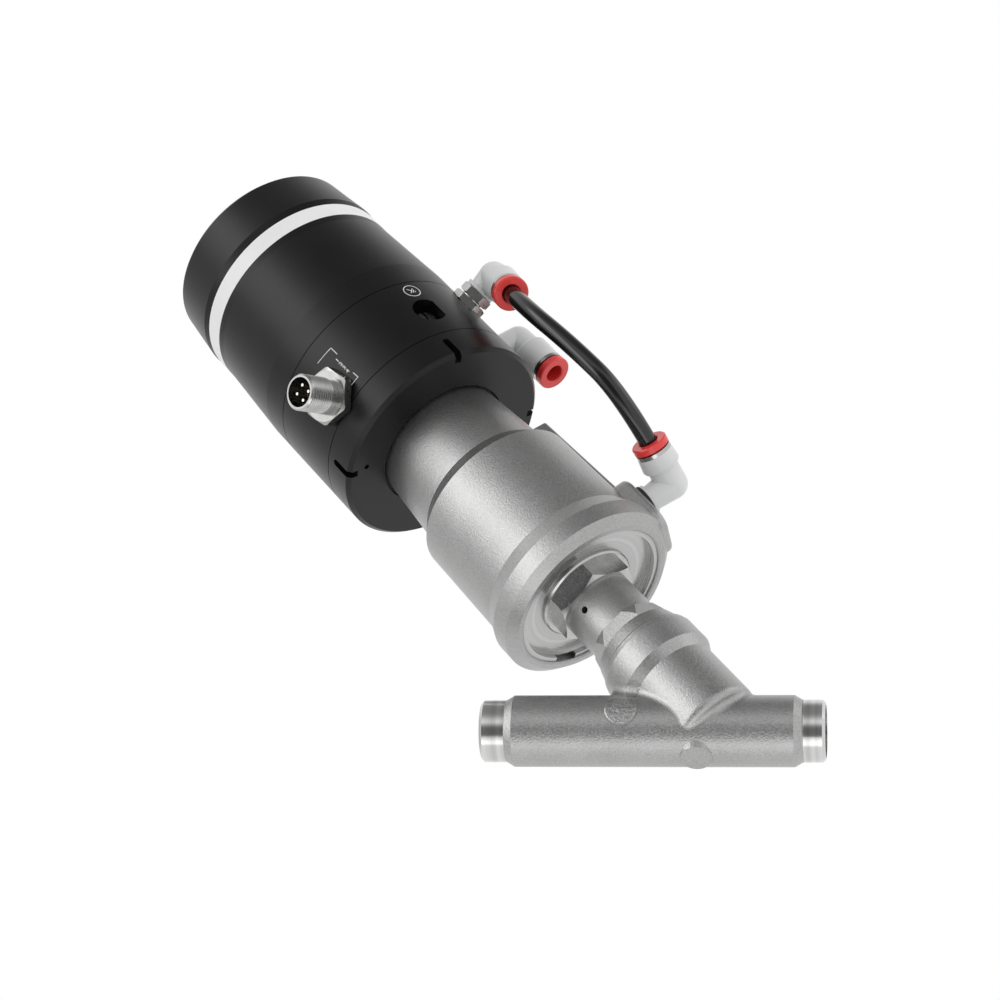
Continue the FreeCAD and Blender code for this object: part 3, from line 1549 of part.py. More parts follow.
def elbow(prefix, station, azimuth, corner, turn, reach, seat, foot_height):
    frame = on_side(val(station), val(azimuth), val(turn))
    body_end = reach + " - collet_head_len - collet_gap - elbow_ring_len"
    riser = turned(
        prefix + "_riser",
        [
            (None, foot_height),
            ("elbow_foot_rad", foot_height),
            ("elbow_foot_rad", foot_height + " + elbow_foot_len"),
            ("elbow_neck_rad", foot_height + " + elbow_foot_len"),
            ("elbow_bend_rad", corner),
            (None, corner),
        ],
        FreeCAD.Placement(),
        keep=False,
    )
    ball = doc.addObject("Part::Sphere", prefix + "_ball")
    ball.setExpression("Radius", bound("elbow_bend_rad"))
    ball.Placement = FreeCAD.Placement(FreeCAD.Vector(0, 0, val(corner)), FreeCAD.Rotation())
    arm = turned(
        prefix + "_arm",
        [
            (None, "zero"),
            ("elbow_bend_rad", "zero"),
            ("elbow_bend_rad", "elbow_arm_step"),
            ("elbow_barrel_rad - elbow_shoulder_inset", "elbow_arm_step + elbow_shoulder_inset"),
            ("elbow_barrel_rad", "elbow_arm_step + elbow_shoulder_len"),
            ("elbow_rad", body_end),
            (None, body_end),
        ],
        FreeCAD.Placement(FreeCAD.Vector(0, 0, val(corner)), FreeCAD.Rotation(FreeCAD.Vector(0, 1, 0), 90)),
        keep=False,
    )
    blank = fused(prefix + "_blank", [riser, ball, arm])
    socket = cylinder(
        prefix + "_socket",
        "socket_rad",
        body_end + " - elbow_stop",
        base=(val("elbow_stop"), 0, val(corner)),
        direction=X_AXIS,
    )
    way = cylinder(prefix + "_way", "air_bore_rad", "elbow_stop + elbow_stop", base=(0, 0, val(corner)), direction=X_AXIS)
    rise = cylinder(prefix + "_rise", "air_bore_rad", less(corner, foot_height), base=(0, 0, val(foot_height)))
    hollow = fused(prefix + "_hollow", [socket, way, rise])
    placed(cut(prefix + "_body_cut", blank, hollow), prefix + "_body", frame)
    outlet = frame.multiply(FreeCAD.Placement(FreeCAD.Vector(0, 0, val(corner)), FreeCAD.Rotation(FreeCAD.Vector(0, 1, 0), 90)))
    turned(
        prefix + "_clamp_ring",
        [
            ("socket_rad", body_end),
            ("elbow_ring_rad", body_end),
            ("elbow_ring_rad", body_end + " + elbow_ring_len"),
            ("socket_rad", body_end + " + elbow_ring_len"),
        ],
        outlet,
    )
    turned(
        prefix + "_collet",
        [
            ("collet_bore_rad", reach + " - collet_head_len - collet_sleeve_len"),
            ("collet_sleeve_rad", reach + " - collet_head_len - collet_sleeve_len"),
            ("collet_sleeve_rad", reach + " - collet_head_len"),
            ("collet_rad", reach + " - collet_head_len"),
            ("collet_rad", reach + " - collet_bevel"),
            ("collet_rad - collet_bevel", reach),
            ("collet_bore_rad + collet_bevel", reach),
            ("collet_bore_rad", reach + " - collet_bevel"),
        ],
        outlet,
    )
    return frame, outlet


def turned_corners(name, blank, flat_rad, corner_rad, low, high):
    """Hexagon whose corners are turned off at both ends, as on a bought nut."""
    drum = turned(
        name + "_drum",
        [
            (None, low),
            (flat_rad, low),
            (corner_rad, low + " + hex_bevel"),
            (corner_rad, high + " - hex_bevel"),
            (flat_rad, high),
            (None, high),
        ],
        FreeCAD.Placement(),
        keep=False,
    )
    return shared(name, [blank, drum])


def stud(prefix, frame, low, high, seat):
    """Threaded stud with a hexagon, which screws into the port below its seat."""
    hex_blank = hexagon(prefix + "_hex", "stud_flats", less(high, low), base=(0, 0, val(low)), turn=val("stud_turn"))
    hex_part = turned_corners(prefix + "_hex_turned", hex_blank, "stud_end_rad", "stud_corner_rad", low, high)
    shank = turned(
        prefix + "_shank",
        [
            (None, seat + " - port_depth"),
            ("port_rad - thread_gap", seat + " - port_depth"),
            ("port_rad - thread_gap", seat),
            ("stud_pipe_rad", seat),
            ("stud_pipe_rad", high),
            (None, high),
        ],
        FreeCAD.Placement(),
        keep=False,
    )
    way = cylinder(prefix + "_bore", "air_bore_rad", high, base=(0, 0, 0))
    solid = fused(prefix + "_solid", [hex_part, shank])
    placed(cut(prefix + "_cut", solid, way), prefix + "_stud", frame)


one_hex_low = "fit_seat + lock_thick + stud_gap"
one_hex_high = "fit_seat + lock_thick + stud_gap + stud_thick"
one_frame, one_outlet = elbow("outlet_elbow", "one_station", "one_azimuth", "one_corner", "one_turn", "one_reach", "fit_seat", one_hex_high)
stud("outlet_elbow", one_frame, one_hex_low, one_hex_high, "fit_seat")
lock_blank = hexagon("lock_blank", "lock_flats", "lock_thick", base=(0, 0, val("fit_seat")), turn=val("lock_turn"))
lock_form = turned_corners("lock_turned", lock_blank, "lock_end_rad", "lock_corner_rad", "fit_seat", "fit_seat + lock_thick")
lock_hole = cylinder("lock_hole", "stud_pipe_rad", "posi_rad + posi_rad", base=(0, 0, 0))
placed(cut("lock_cut", lock_form, lock_hole), "outlet_lock_nut", one_frame)

two_hex_high = "fit_seat + stud_thick"
two_frame, two_outlet = elbow("supply_elbow", "two_station", "two_azimuth", "two_corner", "two_turn", "two_reach", "fit_seat", "fit_seat + stud_thick + swivel_gap")
stud("supply_elbow", two_frame, "fit_seat", two_hex_high, "fit_seat")

three_foot = "boss_face + three_seal_thick"
three_frame, three_outlet = elbow("actuator_elbow", "three_station", "three_azimuth", "three_corner", "three_turn", "three_reach", "boss_face", three_foot)
turned(
    "actuator_elbow_stud",
    [
        ("air_bore_rad", "boss_face - port_depth"),
        ("port_rad - thread_gap", "boss_face - port_depth"),
        ("port_rad - thread_gap", "boss_face"),
        ("stud_pipe_rad", "boss_face"),
        ("stud_pipe_rad", three_foot),
        ("air_bore_rad", three_foot),
    ],
    three_frame,
)
turned(
    "actuator_elbow_seal",
    [
        ("stud_pipe_rad", "boss_face"),
        ("three_seal_rad", "boss_face"),
        ("three_seal_rad", three_foot),
        ("stud_pipe_rad", three_foot),
    ],
    three_frame,
)

# Air tube between the two outer elbows: straight runs joined by tangent arcs.
start = one_outlet.multVec(FreeCAD.Vector(0, 0, val("one_reach")))
start_way = one_outlet.Rotation.multVec(FreeCAD.Vector(0, 0, 1))
finish = three_outlet.multVec(FreeCAD.Vector(0, 0, val("three_reach")))
finish_way = three_outlet.Rotation.multVec(FreeCAD.Vector(0, 0, 1))
start_pull = start + start_way * val("air_tube_pull_one")
finish_pull = finish + finish_way * val("air_tube_pull_three")
route = [
    start - start_way * val("air_tube_depth"),
    (start + start_pull * 3) * 0.25,
    (start_pull + finish_pull) * 0.5,
    (finish + finish_pull * 3) * 0.25,
    finish - finish_way * val("air_tube_depth"),
]


def tube_path(points, share):
    """Wire of straight runs with an arc at each point between; share is the part of a run an arc may use."""
    edges = []
    radii = []
    last = points[0]
    for index in range(1, len(points) - 1):
        before = points[index] - points[index - 1]
        after = points[index + 1] - points[index]
        turn = before.getAngle(after)
        reach = share * min(before.Length, after.Length)
        radius = reach / math.tan(turn / 2)
        way_in = FreeCAD.Vector(before).normalize()
        way_out = FreeCAD.Vector(after).normalize()
        enter = points[index] - way_in * reach
        leave = points[index] + way_out * reach
        inward = FreeCAD.Vector(way_out - way_in).normalize()
        middle = points[index] + inward * (radius / math.cos(turn / 2) - radius)
        edges.append(Part.LineSegment(last, enter).toShape())
        edges.append(Part.Arc(enter, middle, leave).toShape())
        radii.append(radius)
        last = leave
    edges.append(Part.LineSegment(last, points[-1]).toShape())
    return Part.Wire(edges), radii


tube_wire, tube_radii = tube_path(route, val("air_tube_share"))
tube_section = Part.Wire([Part.Circle(route[0], start_way, val("air_tube_rad")).toShape()])
air_tube = doc.addObject("Part::Feature", "air_tube")
air_tube.Label = "air_tube"
air_tube.Shape = tube_wire.makePipeShell([tube_section], True, True)
nodes.append(air_tube)
expected = math.pi * val("air_tube_rad") ** 2 * tube_wire.Length
print("tube radii", [round(radius, 1) for radius in tube_radii], "length", round(tube_wire.Length, 1))
print("tube volume", round(air_tube.Shape.Volume, 1), "section times length", round(expected, 1))
print("tube route", [tuple(round(value, 2) for value in point) for point in route])

doc.recompute()

# Every object must be sound before anything is written.
faults = []
for item in doc.Objects:
    if "Invalid" in item.State or "Error" in item.State:
        faults.append("%s %s" % (item.Name, item.State))
for item in nodes:
    if item.Shape.isNull() or not item.Shape.isValid() or item.Shape.Volume <= 0:
        faults.append("%s has no sound shape" % item.Label)
if faults:
    raise RuntimeError("; ".join(faults))

os.makedirs("parts", exist_ok=True)
for item in nodes:
    item.Shape.exportStep(os.path.join("parts", item.Label + ".step"))
print("pieces", len(nodes))
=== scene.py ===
# %% [markdown]
# A pneumatic angle-seat control valve with a positioner.
# The steel valve body lies along X, and its bonnet leans 40 degrees back over the outlet.
# On the bonnet sit the steel piston actuator and the black round positioner.
# Push-in air fittings and one tube join them.
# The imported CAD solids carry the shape, so most of this lesson is about their finishes.

import math

import bmesh
import bpy
from mathutils import Matrix, Vector


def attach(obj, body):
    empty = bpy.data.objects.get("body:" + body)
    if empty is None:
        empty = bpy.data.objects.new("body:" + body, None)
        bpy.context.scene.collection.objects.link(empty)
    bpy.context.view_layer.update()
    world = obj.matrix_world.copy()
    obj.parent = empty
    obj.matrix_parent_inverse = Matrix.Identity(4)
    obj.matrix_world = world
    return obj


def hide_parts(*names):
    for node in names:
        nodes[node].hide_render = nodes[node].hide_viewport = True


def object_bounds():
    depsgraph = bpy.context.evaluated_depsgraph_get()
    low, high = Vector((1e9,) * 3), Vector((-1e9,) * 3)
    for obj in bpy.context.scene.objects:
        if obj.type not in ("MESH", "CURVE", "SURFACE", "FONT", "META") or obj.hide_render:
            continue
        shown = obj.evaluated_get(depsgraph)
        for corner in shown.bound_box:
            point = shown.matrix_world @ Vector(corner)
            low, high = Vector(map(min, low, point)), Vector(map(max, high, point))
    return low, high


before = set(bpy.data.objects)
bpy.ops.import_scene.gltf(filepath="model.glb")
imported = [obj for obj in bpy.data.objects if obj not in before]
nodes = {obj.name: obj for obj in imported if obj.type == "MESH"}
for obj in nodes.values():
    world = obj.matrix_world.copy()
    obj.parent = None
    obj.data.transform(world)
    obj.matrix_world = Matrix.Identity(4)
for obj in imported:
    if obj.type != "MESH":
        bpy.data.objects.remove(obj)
cad_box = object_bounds()
MM = 0.001
print("solids", len(nodes))

# %% [markdown]
# The valve has two axes. The pipe axis is X, at height zero.
# The bonnet axis leaves the pipe at the crossing point and leans 40 degrees from the vertical.
# Every round piece of the bonnet, actuator and positioner turns about it.
# A place on such a piece is a station along the axis, an azimuth about it and a distance out from it.

# %% The two axes and a helper for places on the bonnet
CROSSING = Vector((-32 * MM, 0, 0))
LEAN = math.radians(40)
AXIS = Vector((-math.sin(LEAN), 0, math.cos(LEAN)))
BONNET_TURN = Matrix.Rotation(-LEAN, 4, "Y")
BONNET_FRAME = Matrix.Translation(CROSSING) @ BONNET_TURN


def outward(azimuth):
    """Direction out from the bonnet axis; azimuth 0 faces -Y and 90 faces the inlet side."""
    angle = math.radians(azimuth)
    return (BONNET_TURN @ Vector((math.sin(angle), -math.cos(angle), 0))).normalized()


def on_bonnet(station, azimuth, out):
    """Point at a station along the bonnet axis, an azimuth and a distance out, all in mm and degrees."""
    return CROSSING + AXIS * (station * MM) + outward(azimuth) * (out * MM)


print("top of the bonnet axis", on_bonnet(259, 0, 0))

# %% [markdown]
# Many finishes here share two effects, so each is a node group that is built once.
# The first is a fine speckle. A blasted casting, a moulded plastic and an anodised skin all have one.
# The group gives a slow cloud for uneven colour and a fine height for the bump.
# Both read Object coordinates, which are metres here, so the same scale fits every piece.

# %% Node group: speckle
def new_group(name, inputs, outputs):
    """Empty shader node group with float inputs (name, value) and float outputs."""
    group = bpy.data.node_groups.new(name, "ShaderNodeTree")
    for label, value in inputs:
        socket = group.interface.new_socket(label, in_out="INPUT", socket_type="NodeSocketFloat")
        socket.default_value = value
    for label in outputs:
        group.interface.new_socket(label, in_out="OUTPUT", socket_type="NodeSocketFloat")
    entry = group.nodes.new("NodeGroupInput")
    leave = group.nodes.new("NodeGroupOutput")
    return group, entry, leave


def node_in(tree, kind, **settings):
    """New node of a kind in a tree, with its own settings."""
    node = tree.nodes.new(kind)
    for key, value in settings.items():
        setattr(node, key, value)
    return node


speckle, speckle_in, speckle_out = new_group(
    "speckle", [("Grain size", 0.0004), ("Cloud size", 0.012)], ["Height", "Cloud"]
)
place = node_in(speckle, "ShaderNodeTexCoord")
grain_rate = node_in(speckle, "ShaderNodeMath", operation="DIVIDE")
grain_rate.inputs[0].default_value = 1.0
cloud_rate = node_in(speckle, "ShaderNodeMath", operation="DIVIDE")
cloud_rate.inputs[0].default_value = 1.0
grain_noise = node_in(speckle, "ShaderNodeTexNoise")
grain_noise.inputs["Detail"].default_value = 2.0
grain_noise.inputs["Roughness"].default_value = 0.6
cloud_noise = node_in(speckle, "ShaderNodeTexNoise")
cloud_noise.inputs["Detail"].default_value = 3.0
speckle.links.new(speckle_in.outputs["Grain size"], grain_rate.inputs[1])
speckle.links.new(speckle_in.outputs["Cloud size"], cloud_rate.inputs[1])
speckle.links.new(grain_rate.outputs[0], grain_noise.inputs["Scale"])
speckle.links.new(cloud_rate.outputs[0], cloud_noise.inputs["Scale"])
speckle.links.new(place.outputs["Object"], grain_noise.inputs["Vector"])
speckle.links.new(place.outputs["Object"], cloud_noise.inputs["Vector"])
speckle.links.new(grain_noise.outputs["Fac"], speckle_out.inputs["Height"])
speckle.links.new(cloud_noise.outputs["Fac"], speckle_out.inputs["Cloud"])
print("group", speckle.name, "nodes", len(speckle.nodes))

# %% [markdown]
# The second effect is the fine rings that a lathe tool leaves on a turned face.
# They run round the piece, so the pattern may only change along the axis and out from it.
# The group turns the coordinates so that Z is the piece's axis.
# Then it feeds a noise with height and radius alone.
# The axis is the bonnet's for most pieces and the pipe's for the two weld ends.

# %% Node group: lathe rings
STREAK_RATE = 600.0


def lathe_group(name, start, turn):
    """Rings about an axis through start; turn is the rotation that brings that axis to Z."""
    group, entry, leave = new_group(name, [("Ring size", 0.0003)], ["Height", "Streak"])
    spot = node_in(group, "ShaderNodeTexCoord")
    shift = node_in(group, "ShaderNodeVectorMath", operation="SUBTRACT")
    shift.inputs[1].default_value = start
    rotate = node_in(group, "ShaderNodeVectorRotate", rotation_type="EULER_XYZ")
    rotate.inputs["Rotation"].default_value = turn
    split = node_in(group, "ShaderNodeSeparateXYZ")
    across = node_in(group, "ShaderNodeCombineXYZ")
    radius = node_in(group, "ShaderNodeVectorMath", operation="LENGTH")
    pair = node_in(group, "ShaderNodeCombineXYZ")
    rate = node_in(group, "ShaderNodeMath", operation="DIVIDE")
    rate.inputs[0].default_value = 1.0
    fine = node_in(group, "ShaderNodeTexNoise", noise_dimensions="2D")
    fine.inputs["Detail"].default_value = 3.0
    broad = node_in(group, "ShaderNodeTexNoise", noise_dimensions="2D")
    broad.inputs["Scale"].default_value = STREAK_RATE
    broad.inputs["Detail"].default_value = 2.0
    link = group.links.new
    link(spot.outputs["Object"], shift.inputs[0])
    link(shift.outputs[0], rotate.inputs["Vector"])
    link(rotate.outputs[0], split.inputs[0])
    link(split.outputs["X"], across.inputs["X"])
    link(split.outputs["Y"], across.inputs["Y"])
    link(across.outputs[0], radius.inputs[0])
    link(split.outputs["Z"], pair.inputs["X"])
    link(radius.outputs["Value"], pair.inputs["Y"])
    link(entry.outputs["Ring size"], rate.inputs[1])
    link(rate.outputs[0], fine.inputs["Scale"])
    link(pair.outputs[0], fine.inputs["Vector"])
    link(pair.outputs[0], broad.inputs["Vector"])
    link(fine.outputs["Fac"], leave.inputs["Height"])
    link(broad.outputs["Fac"], leave.inputs["Streak"])
    return group


bonnet_rings = lathe_group("bonnet_rings", CROSSING, (0, LEAN, 0))
pipe_rings = lathe_group("pipe_rings", (0, 0, 0), (0, -math.pi / 2, 0))
print("ring groups", bonnet_rings.name, pipe_rings.name)

# %% [markdown]
# Each finish is a Principled shader with its plain numbers on its own sockets.
# A helper makes the material and returns its tree and shader.
# Two more helpers turn a group's output into an uneven colour, an uneven roughness or a bump.

# %% Helpers for materials
def new_finish(name, colour, metallic, roughness, coat=0.0):
    """Material with a Principled shader; returns material, tree and shader."""
    material = bpy.data.materials.new(name)
    material.use_nodes = True
    tree = material.node_tree
    shader = tree.nodes["Principled BSDF"]
    shader.inputs["Base Color"].default_value = (*colour, 1)
    shader.inputs["Metallic"].default_value = metallic
    shader.inputs["Roughness"].default_value = roughness
    shader.inputs["Coat Weight"].default_value = coat
    return material, tree, shader


def add_group(tree, group, **values):
    """Places a node group in a material with its own values; names have _ for a space."""
    node = tree.nodes.new("ShaderNodeGroup")
    node.node_tree = group
    for key, value in values.items():
        node.inputs[key.replace("_", " ")].default_value = value
    return node


NOISE_LOW = 0.3
NOISE_HIGH = 0.7


def spread(tree, source, low, high):
    """Maps the values that a noise mostly has to a range."""
    node = tree.nodes.new("ShaderNodeMapRange")
    node.inputs["From Min"].default_value = NOISE_LOW
    node.inputs["From Max"].default_value = NOISE_HIGH
    node.inputs["To Min"].default_value = low
    node.inputs["To Max"].default_value = high
    tree.links.new(source, node.inputs["Value"])
    return node.outputs["Result"]


def shade_mix(tree, factor, dark, light):
    """Colour between dark and light by a factor."""
    node = tree.nodes.new("ShaderNodeMix")
    node.data_type = "RGBA"
    node.inputs["A"].default_value = (*dark, 1)
    node.inputs["B"].default_value = (*light, 1)
    tree.links.new(factor, node.inputs["Factor"])
    return node.outputs["Result"]


def add_bump(tree, shader, height, depth, strength=1.0):
    """Bump of a depth in metres from a height value."""
    node = tree.nodes.new("ShaderNodeBump")
    node.inputs["Distance"].default_value = depth
    node.inputs["Strength"].default_value = strength
    tree.links.new(height, node.inputs["Height"])
    tree.links.new(node.outputs["Normal"], shader.inputs["Normal"])
    return node


# %% [markdown]
# The valve body and the actuator housing are stainless castings, blasted to an even satin grey.
# Close up, such a surface is a fine pebble with soft clouds where the blasting dwelt longer.
# A medium roughness spreads the reflections, and a shallow bump breaks them up.
# Two castings share it, so a function makes it, and returns what the body's own finish builds on later.

# %% Blasted casting
CAST_DARK = (0.33, 0.33, 0.328)
CAST_LIGHT = (0.48, 0.48, 0.477)
CAST_ROUGH = (0.36, 0.44)
CAST_GRAIN = 0.0006
CAST_CLOUD = 0.02
CAST_RELIEF = 0.00012
CLOUD_SHARE = 0.3


def blasted(name, colour_dark, colour_light):
    """Satin blasted steel; returns material, tree, shader, its speckle node and its bump."""
    material, tree, shader = new_finish(name, colour_light, 1.0, CAST_ROUGH[1])
    grit = add_group(tree, speckle, Grain_size=CAST_GRAIN, Cloud_size=CAST_CLOUD)
    mottle = node_in(tree, "ShaderNodeMath", operation="MULTIPLY_ADD")
    mottle.inputs[1].default_value = CLOUD_SHARE
    tree.links.new(grit.outputs["Cloud"], mottle.inputs[0])
    grain_part = node_in(tree, "ShaderNodeMath", operation="MULTIPLY")
    grain_part.inputs[1].default_value = 1 - CLOUD_SHARE
    tree.links.new(grit.outputs["Height"], grain_part.inputs[0])
    tree.links.new(grain_part.outputs[0], mottle.inputs[2])
    factor = spread(tree, mottle.outputs[0], 0.0, 1.0)
    tree.links.new(shade_mix(tree, factor, colour_dark, colour_light), shader.inputs["Base Color"])
    tree.links.new(spread(tree, grit.outputs["Height"], *CAST_ROUGH), shader.inputs["Roughness"])
    relief = add_bump(tree, shader, grit.outputs["Height"], CAST_RELIEF)
    return material, tree, shader, grit, relief


cast_steel = blasted("blasted_casting", CAST_DARK, CAST_LIGHT)[0]
body_steel, tree, shader, grit, relief = blasted("body_casting", CAST_DARK, CAST_LIGHT)
print("castings", cast_steel.name, body_steel.name)

# %% [markdown]
# The two weld ends of the body are turned bright after casting, so that a pipe can be welded on.
# They belong to the same solid, so its material switches by the place along X.
# Two comparisons make a mask that is one on the ends, and a Mix node picks the value for each socket.

# %% Turned weld ends of the body
TURNED_DARK = (0.50, 0.50, 0.495)
TURNED_LIGHT = (0.66, 0.66, 0.655)
TURNED_ROUGH = (0.14, 0.24)
TURNED_RING = 0.00025
INLET_TURNED_FROM = -6.6 * MM
OUTLET_TURNED_FROM = -97.4 * MM
place = tree.nodes.new("ShaderNodeTexCoord")
split = tree.nodes.new("ShaderNodeSeparateXYZ")
tree.links.new(place.outputs["Object"], split.inputs[0])
past_inlet = node_in(tree, "ShaderNodeMath", operation="GREATER_THAN")
past_inlet.inputs[1].default_value = INLET_TURNED_FROM
past_outlet = node_in(tree, "ShaderNodeMath", operation="LESS_THAN")
past_outlet.inputs[1].default_value = OUTLET_TURNED_FROM
turned_zone = node_in(tree, "ShaderNodeMath", operation="MAXIMUM")
tree.links.new(split.outputs["X"], past_inlet.inputs[0])
tree.links.new(split.outputs["X"], past_outlet.inputs[0])
tree.links.new(past_inlet.outputs[0], turned_zone.inputs[0])
tree.links.new(past_outlet.outputs[0], turned_zone.inputs[1])
rings = add_group(tree, pipe_rings, Ring_size=TURNED_RING)


def by_zone(blasted_value, turned_value, socket, kind):
    """Feeds a shader socket from one value on the casting and another on the turned ends."""
    node = tree.nodes.new("ShaderNodeMix")
    node.data_type = kind
    ports = [port for port in node.inputs if port.enabled and port.name in ("A", "B")]
    tree.links.new(turned_zone.outputs[0], node.inputs[0])
    tree.links.new(blasted_value, ports[0])
    tree.links.new(turned_value, ports[1])
    tree.links.new([port for port in node.outputs if port.enabled][0], socket)


streaks = spread(tree, rings.outputs["Streak"], 0, 1)
turned_values = {
    "Base Color": (shade_mix(tree, streaks, TURNED_DARK, TURNED_LIGHT), "RGBA"),
    "Roughness": (spread(tree, rings.outputs["Height"], *TURNED_ROUGH), "FLOAT"),
}
for label, (turned_value, kind) in turned_values.items():
    socket = shader.inputs[label]
    by_zone(socket.links[0].from_socket, turned_value, socket, kind)
print("turned ends past", INLET_TURNED_FROM, "and", OUTLET_TURNED_FROM)

# %% [markdown]
# On the pipe, in front of the branch, the casting has a small round patch that the blasting left rough.
# It is where the foundry's pattern had a loose round plug.
# A mask by distance from its middle makes the bump coarser there, so the patch needs no material of its own.
# The turned weld ends keep only a trace of their rings.

# %% Rough round patch on the casting
PATCH_MIDDLE = Vector((-61.6, -11.0, 0.6)) * MM
PATCH_RADIUS = 4.9 * MM
PATCH_LUMP = 0.0011
PATCH_CLOUD = 0.01
PATCH_DEPTH = 3.4
PATCH_FADE = 0.9
TURNED_RELIEF = 0.04
reach = node_in(tree, "ShaderNodeVectorMath", operation="DISTANCE")
reach.inputs[1].default_value = PATCH_MIDDLE
inside = node_in(tree, "ShaderNodeMapRange", interpolation_type="SMOOTHSTEP")
inside.inputs["From Min"].default_value = PATCH_RADIUS
inside.inputs["From Max"].default_value = PATCH_RADIUS * PATCH_FADE
lumps = add_group(tree, speckle, Grain_size=PATCH_LUMP, Cloud_size=PATCH_CLOUD)
taller = node_in(tree, "ShaderNodeMath", operation="MULTIPLY")
taller.inputs[1].default_value = PATCH_DEPTH
masked = node_in(tree, "ShaderNodeMath", operation="MULTIPLY")
stacked = node_in(tree, "ShaderNodeMath", operation="ADD")
tree.links.new(place.outputs["Object"], reach.inputs[0])
tree.links.new(reach.outputs["Value"], inside.inputs["Value"])
tree.links.new(lumps.outputs["Height"], taller.inputs[0])
tree.links.new(taller.outputs[0], masked.inputs[0])
tree.links.new(inside.outputs["Result"], masked.inputs[1])
tree.links.new(masked.outputs[0], stacked.inputs[0])
tree.links.new(grit.outputs["Height"], stacked.inputs[1])
turned_height = node_in(tree, "ShaderNodeMath", operation="MULTIPLY")
turned_height.inputs[1].default_value = TURNED_RELIEF
tree.links.new(rings.outputs["Height"], turned_height.inputs[0])
by_zone(stacked.outputs[0], turned_height.outputs[0], relief.inputs["Height"], "FLOAT")
print("patch radius", PATCH_RADIUS)

# %% [markdown]
# The end plate and snap ring in the foot of the actuator are turned on a lathe.
# They are smoother than the casting, with fine rings about the bonnet axis.
# The springs, spindle and other hidden steel pieces get the same recipe a little duller.

# %% Turned and drawn steel
def turned_finish(name, dark, light, smooth, rough, ring_size, depth):
    """Turned steel with rings about the bonnet axis."""
    material, tree, shader = new_finish(name, light, 1.0, rough)
    rings = add_group(tree, bonnet_rings, Ring_size=ring_size)
    factor = spread(tree, rings.outputs["Streak"], 0, 1)
    tree.links.new(shade_mix(tree, factor, dark, light), shader.inputs["Base Color"])
    tree.links.new(spread(tree, rings.outputs["Height"], smooth, rough), shader.inputs["Roughness"])
    add_bump(tree, shader, rings.outputs["Height"], depth)
    return material


turned_steel = turned_finish(
    "turned_steel", (0.40, 0.40, 0.398), (0.52, 0.52, 0.517),
    smooth=0.22, rough=0.30, ring_size=0.00025, depth=0.000006,
)
drawn_steel = turned_finish(
    "drawn_steel", (0.42, 0.42, 0.41), (0.55, 0.55, 0.54),
    smooth=0.28, rough=0.38, ring_size=0.0005, depth=0.00001,
)
dull_aluminium = turned_finish(
    "dull_aluminium", (0.60, 0.60, 0.61), (0.72, 0.72, 0.73),
    smooth=0.30, rough=0.42, ring_size=0.0004, depth=0.00001,
)
print("turned metals", turned_steel.name, drawn_steel.name, dull_aluminium.name)

# %% [markdown]
# The fittings' screws, nuts and clamp rings and the plug's shell are nickel plated.
# Plating is even and bright, and follows no lathe line, so it takes the speckle group with hardly any depth.
# The same recipe suits the swivel nut, and in a pale warm colour the contacts.

# %% Nickel plate and gold contacts
HAZE_GRAIN = 0.0008
HAZE_CLOUD = 0.004
HAZE_RELIEF = 0.000003


def plated_finish(name, dark, light, smooth, rough):
    """Bright plating with a faint cloud in colour and gloss."""
    material, tree, shader = new_finish(name, light, 1.0, rough)
    haze = add_group(tree, speckle, Grain_size=HAZE_GRAIN, Cloud_size=HAZE_CLOUD)
    factor = spread(tree, haze.outputs["Cloud"], 0, 1)
    tree.links.new(shade_mix(tree, factor, dark, light), shader.inputs["Base Color"])
    tree.links.new(spread(tree, haze.outputs["Height"], smooth, rough), shader.inputs["Roughness"])
    add_bump(tree, shader, haze.outputs["Height"], HAZE_RELIEF)
    return material


dark_screw = plated_finish(
    "dark_screw", (0.10, 0.10, 0.10), (0.16, 0.16, 0.16), smooth=0.24, rough=0.34
)
bright_nickel = plated_finish(
    "plated_nickel", (0.42, 0.42, 0.412), (0.50, 0.50, 0.49), smooth=0.14, rough=0.22
)
smooth_steel = plated_finish(
    "smooth_steel", (0.44, 0.44, 0.437), (0.52, 0.52, 0.516), smooth=0.20, rough=0.28
)
gold_contact = plated_finish(
    "gold_contact", (0.80, 0.72, 0.54), (0.90, 0.83, 0.66), smooth=0.14, rough=0.22
)
print("plated metals", dark_screw.name, bright_nickel.name, smooth_steel.name, gold_contact.name)

# %% [markdown]
# The positioner is machined aluminium with a black anodised skin.
# The skin is a satin black, a little lighter where the fine blasting under it catches the light.
# It isn't a metal to the eye, so Metallic stays at zero and the gloss comes from a middling roughness.

# %% Black anodised skin, plastics and rubber
SKIN_CLOUD = 0.015


def speckled(name, dark, light, smooth, rough, grain, depth, coat=0.0, shine=0.5):
    """Non-metal with a clouded colour, an uneven gloss and a fine bump."""
    material, tree, shader = new_finish(name, light, 0.0, rough, coat)
    shader.inputs["Specular IOR Level"].default_value = shine
    grit = add_group(tree, speckle, Grain_size=grain, Cloud_size=SKIN_CLOUD)
    factor = spread(tree, grit.outputs["Cloud"], 0, 1)
    tree.links.new(shade_mix(tree, factor, dark, light), shader.inputs["Base Color"])
    tree.links.new(spread(tree, grit.outputs["Height"], smooth, rough), shader.inputs["Roughness"])
    add_bump(tree, shader, grit.outputs["Height"], depth)
    return material


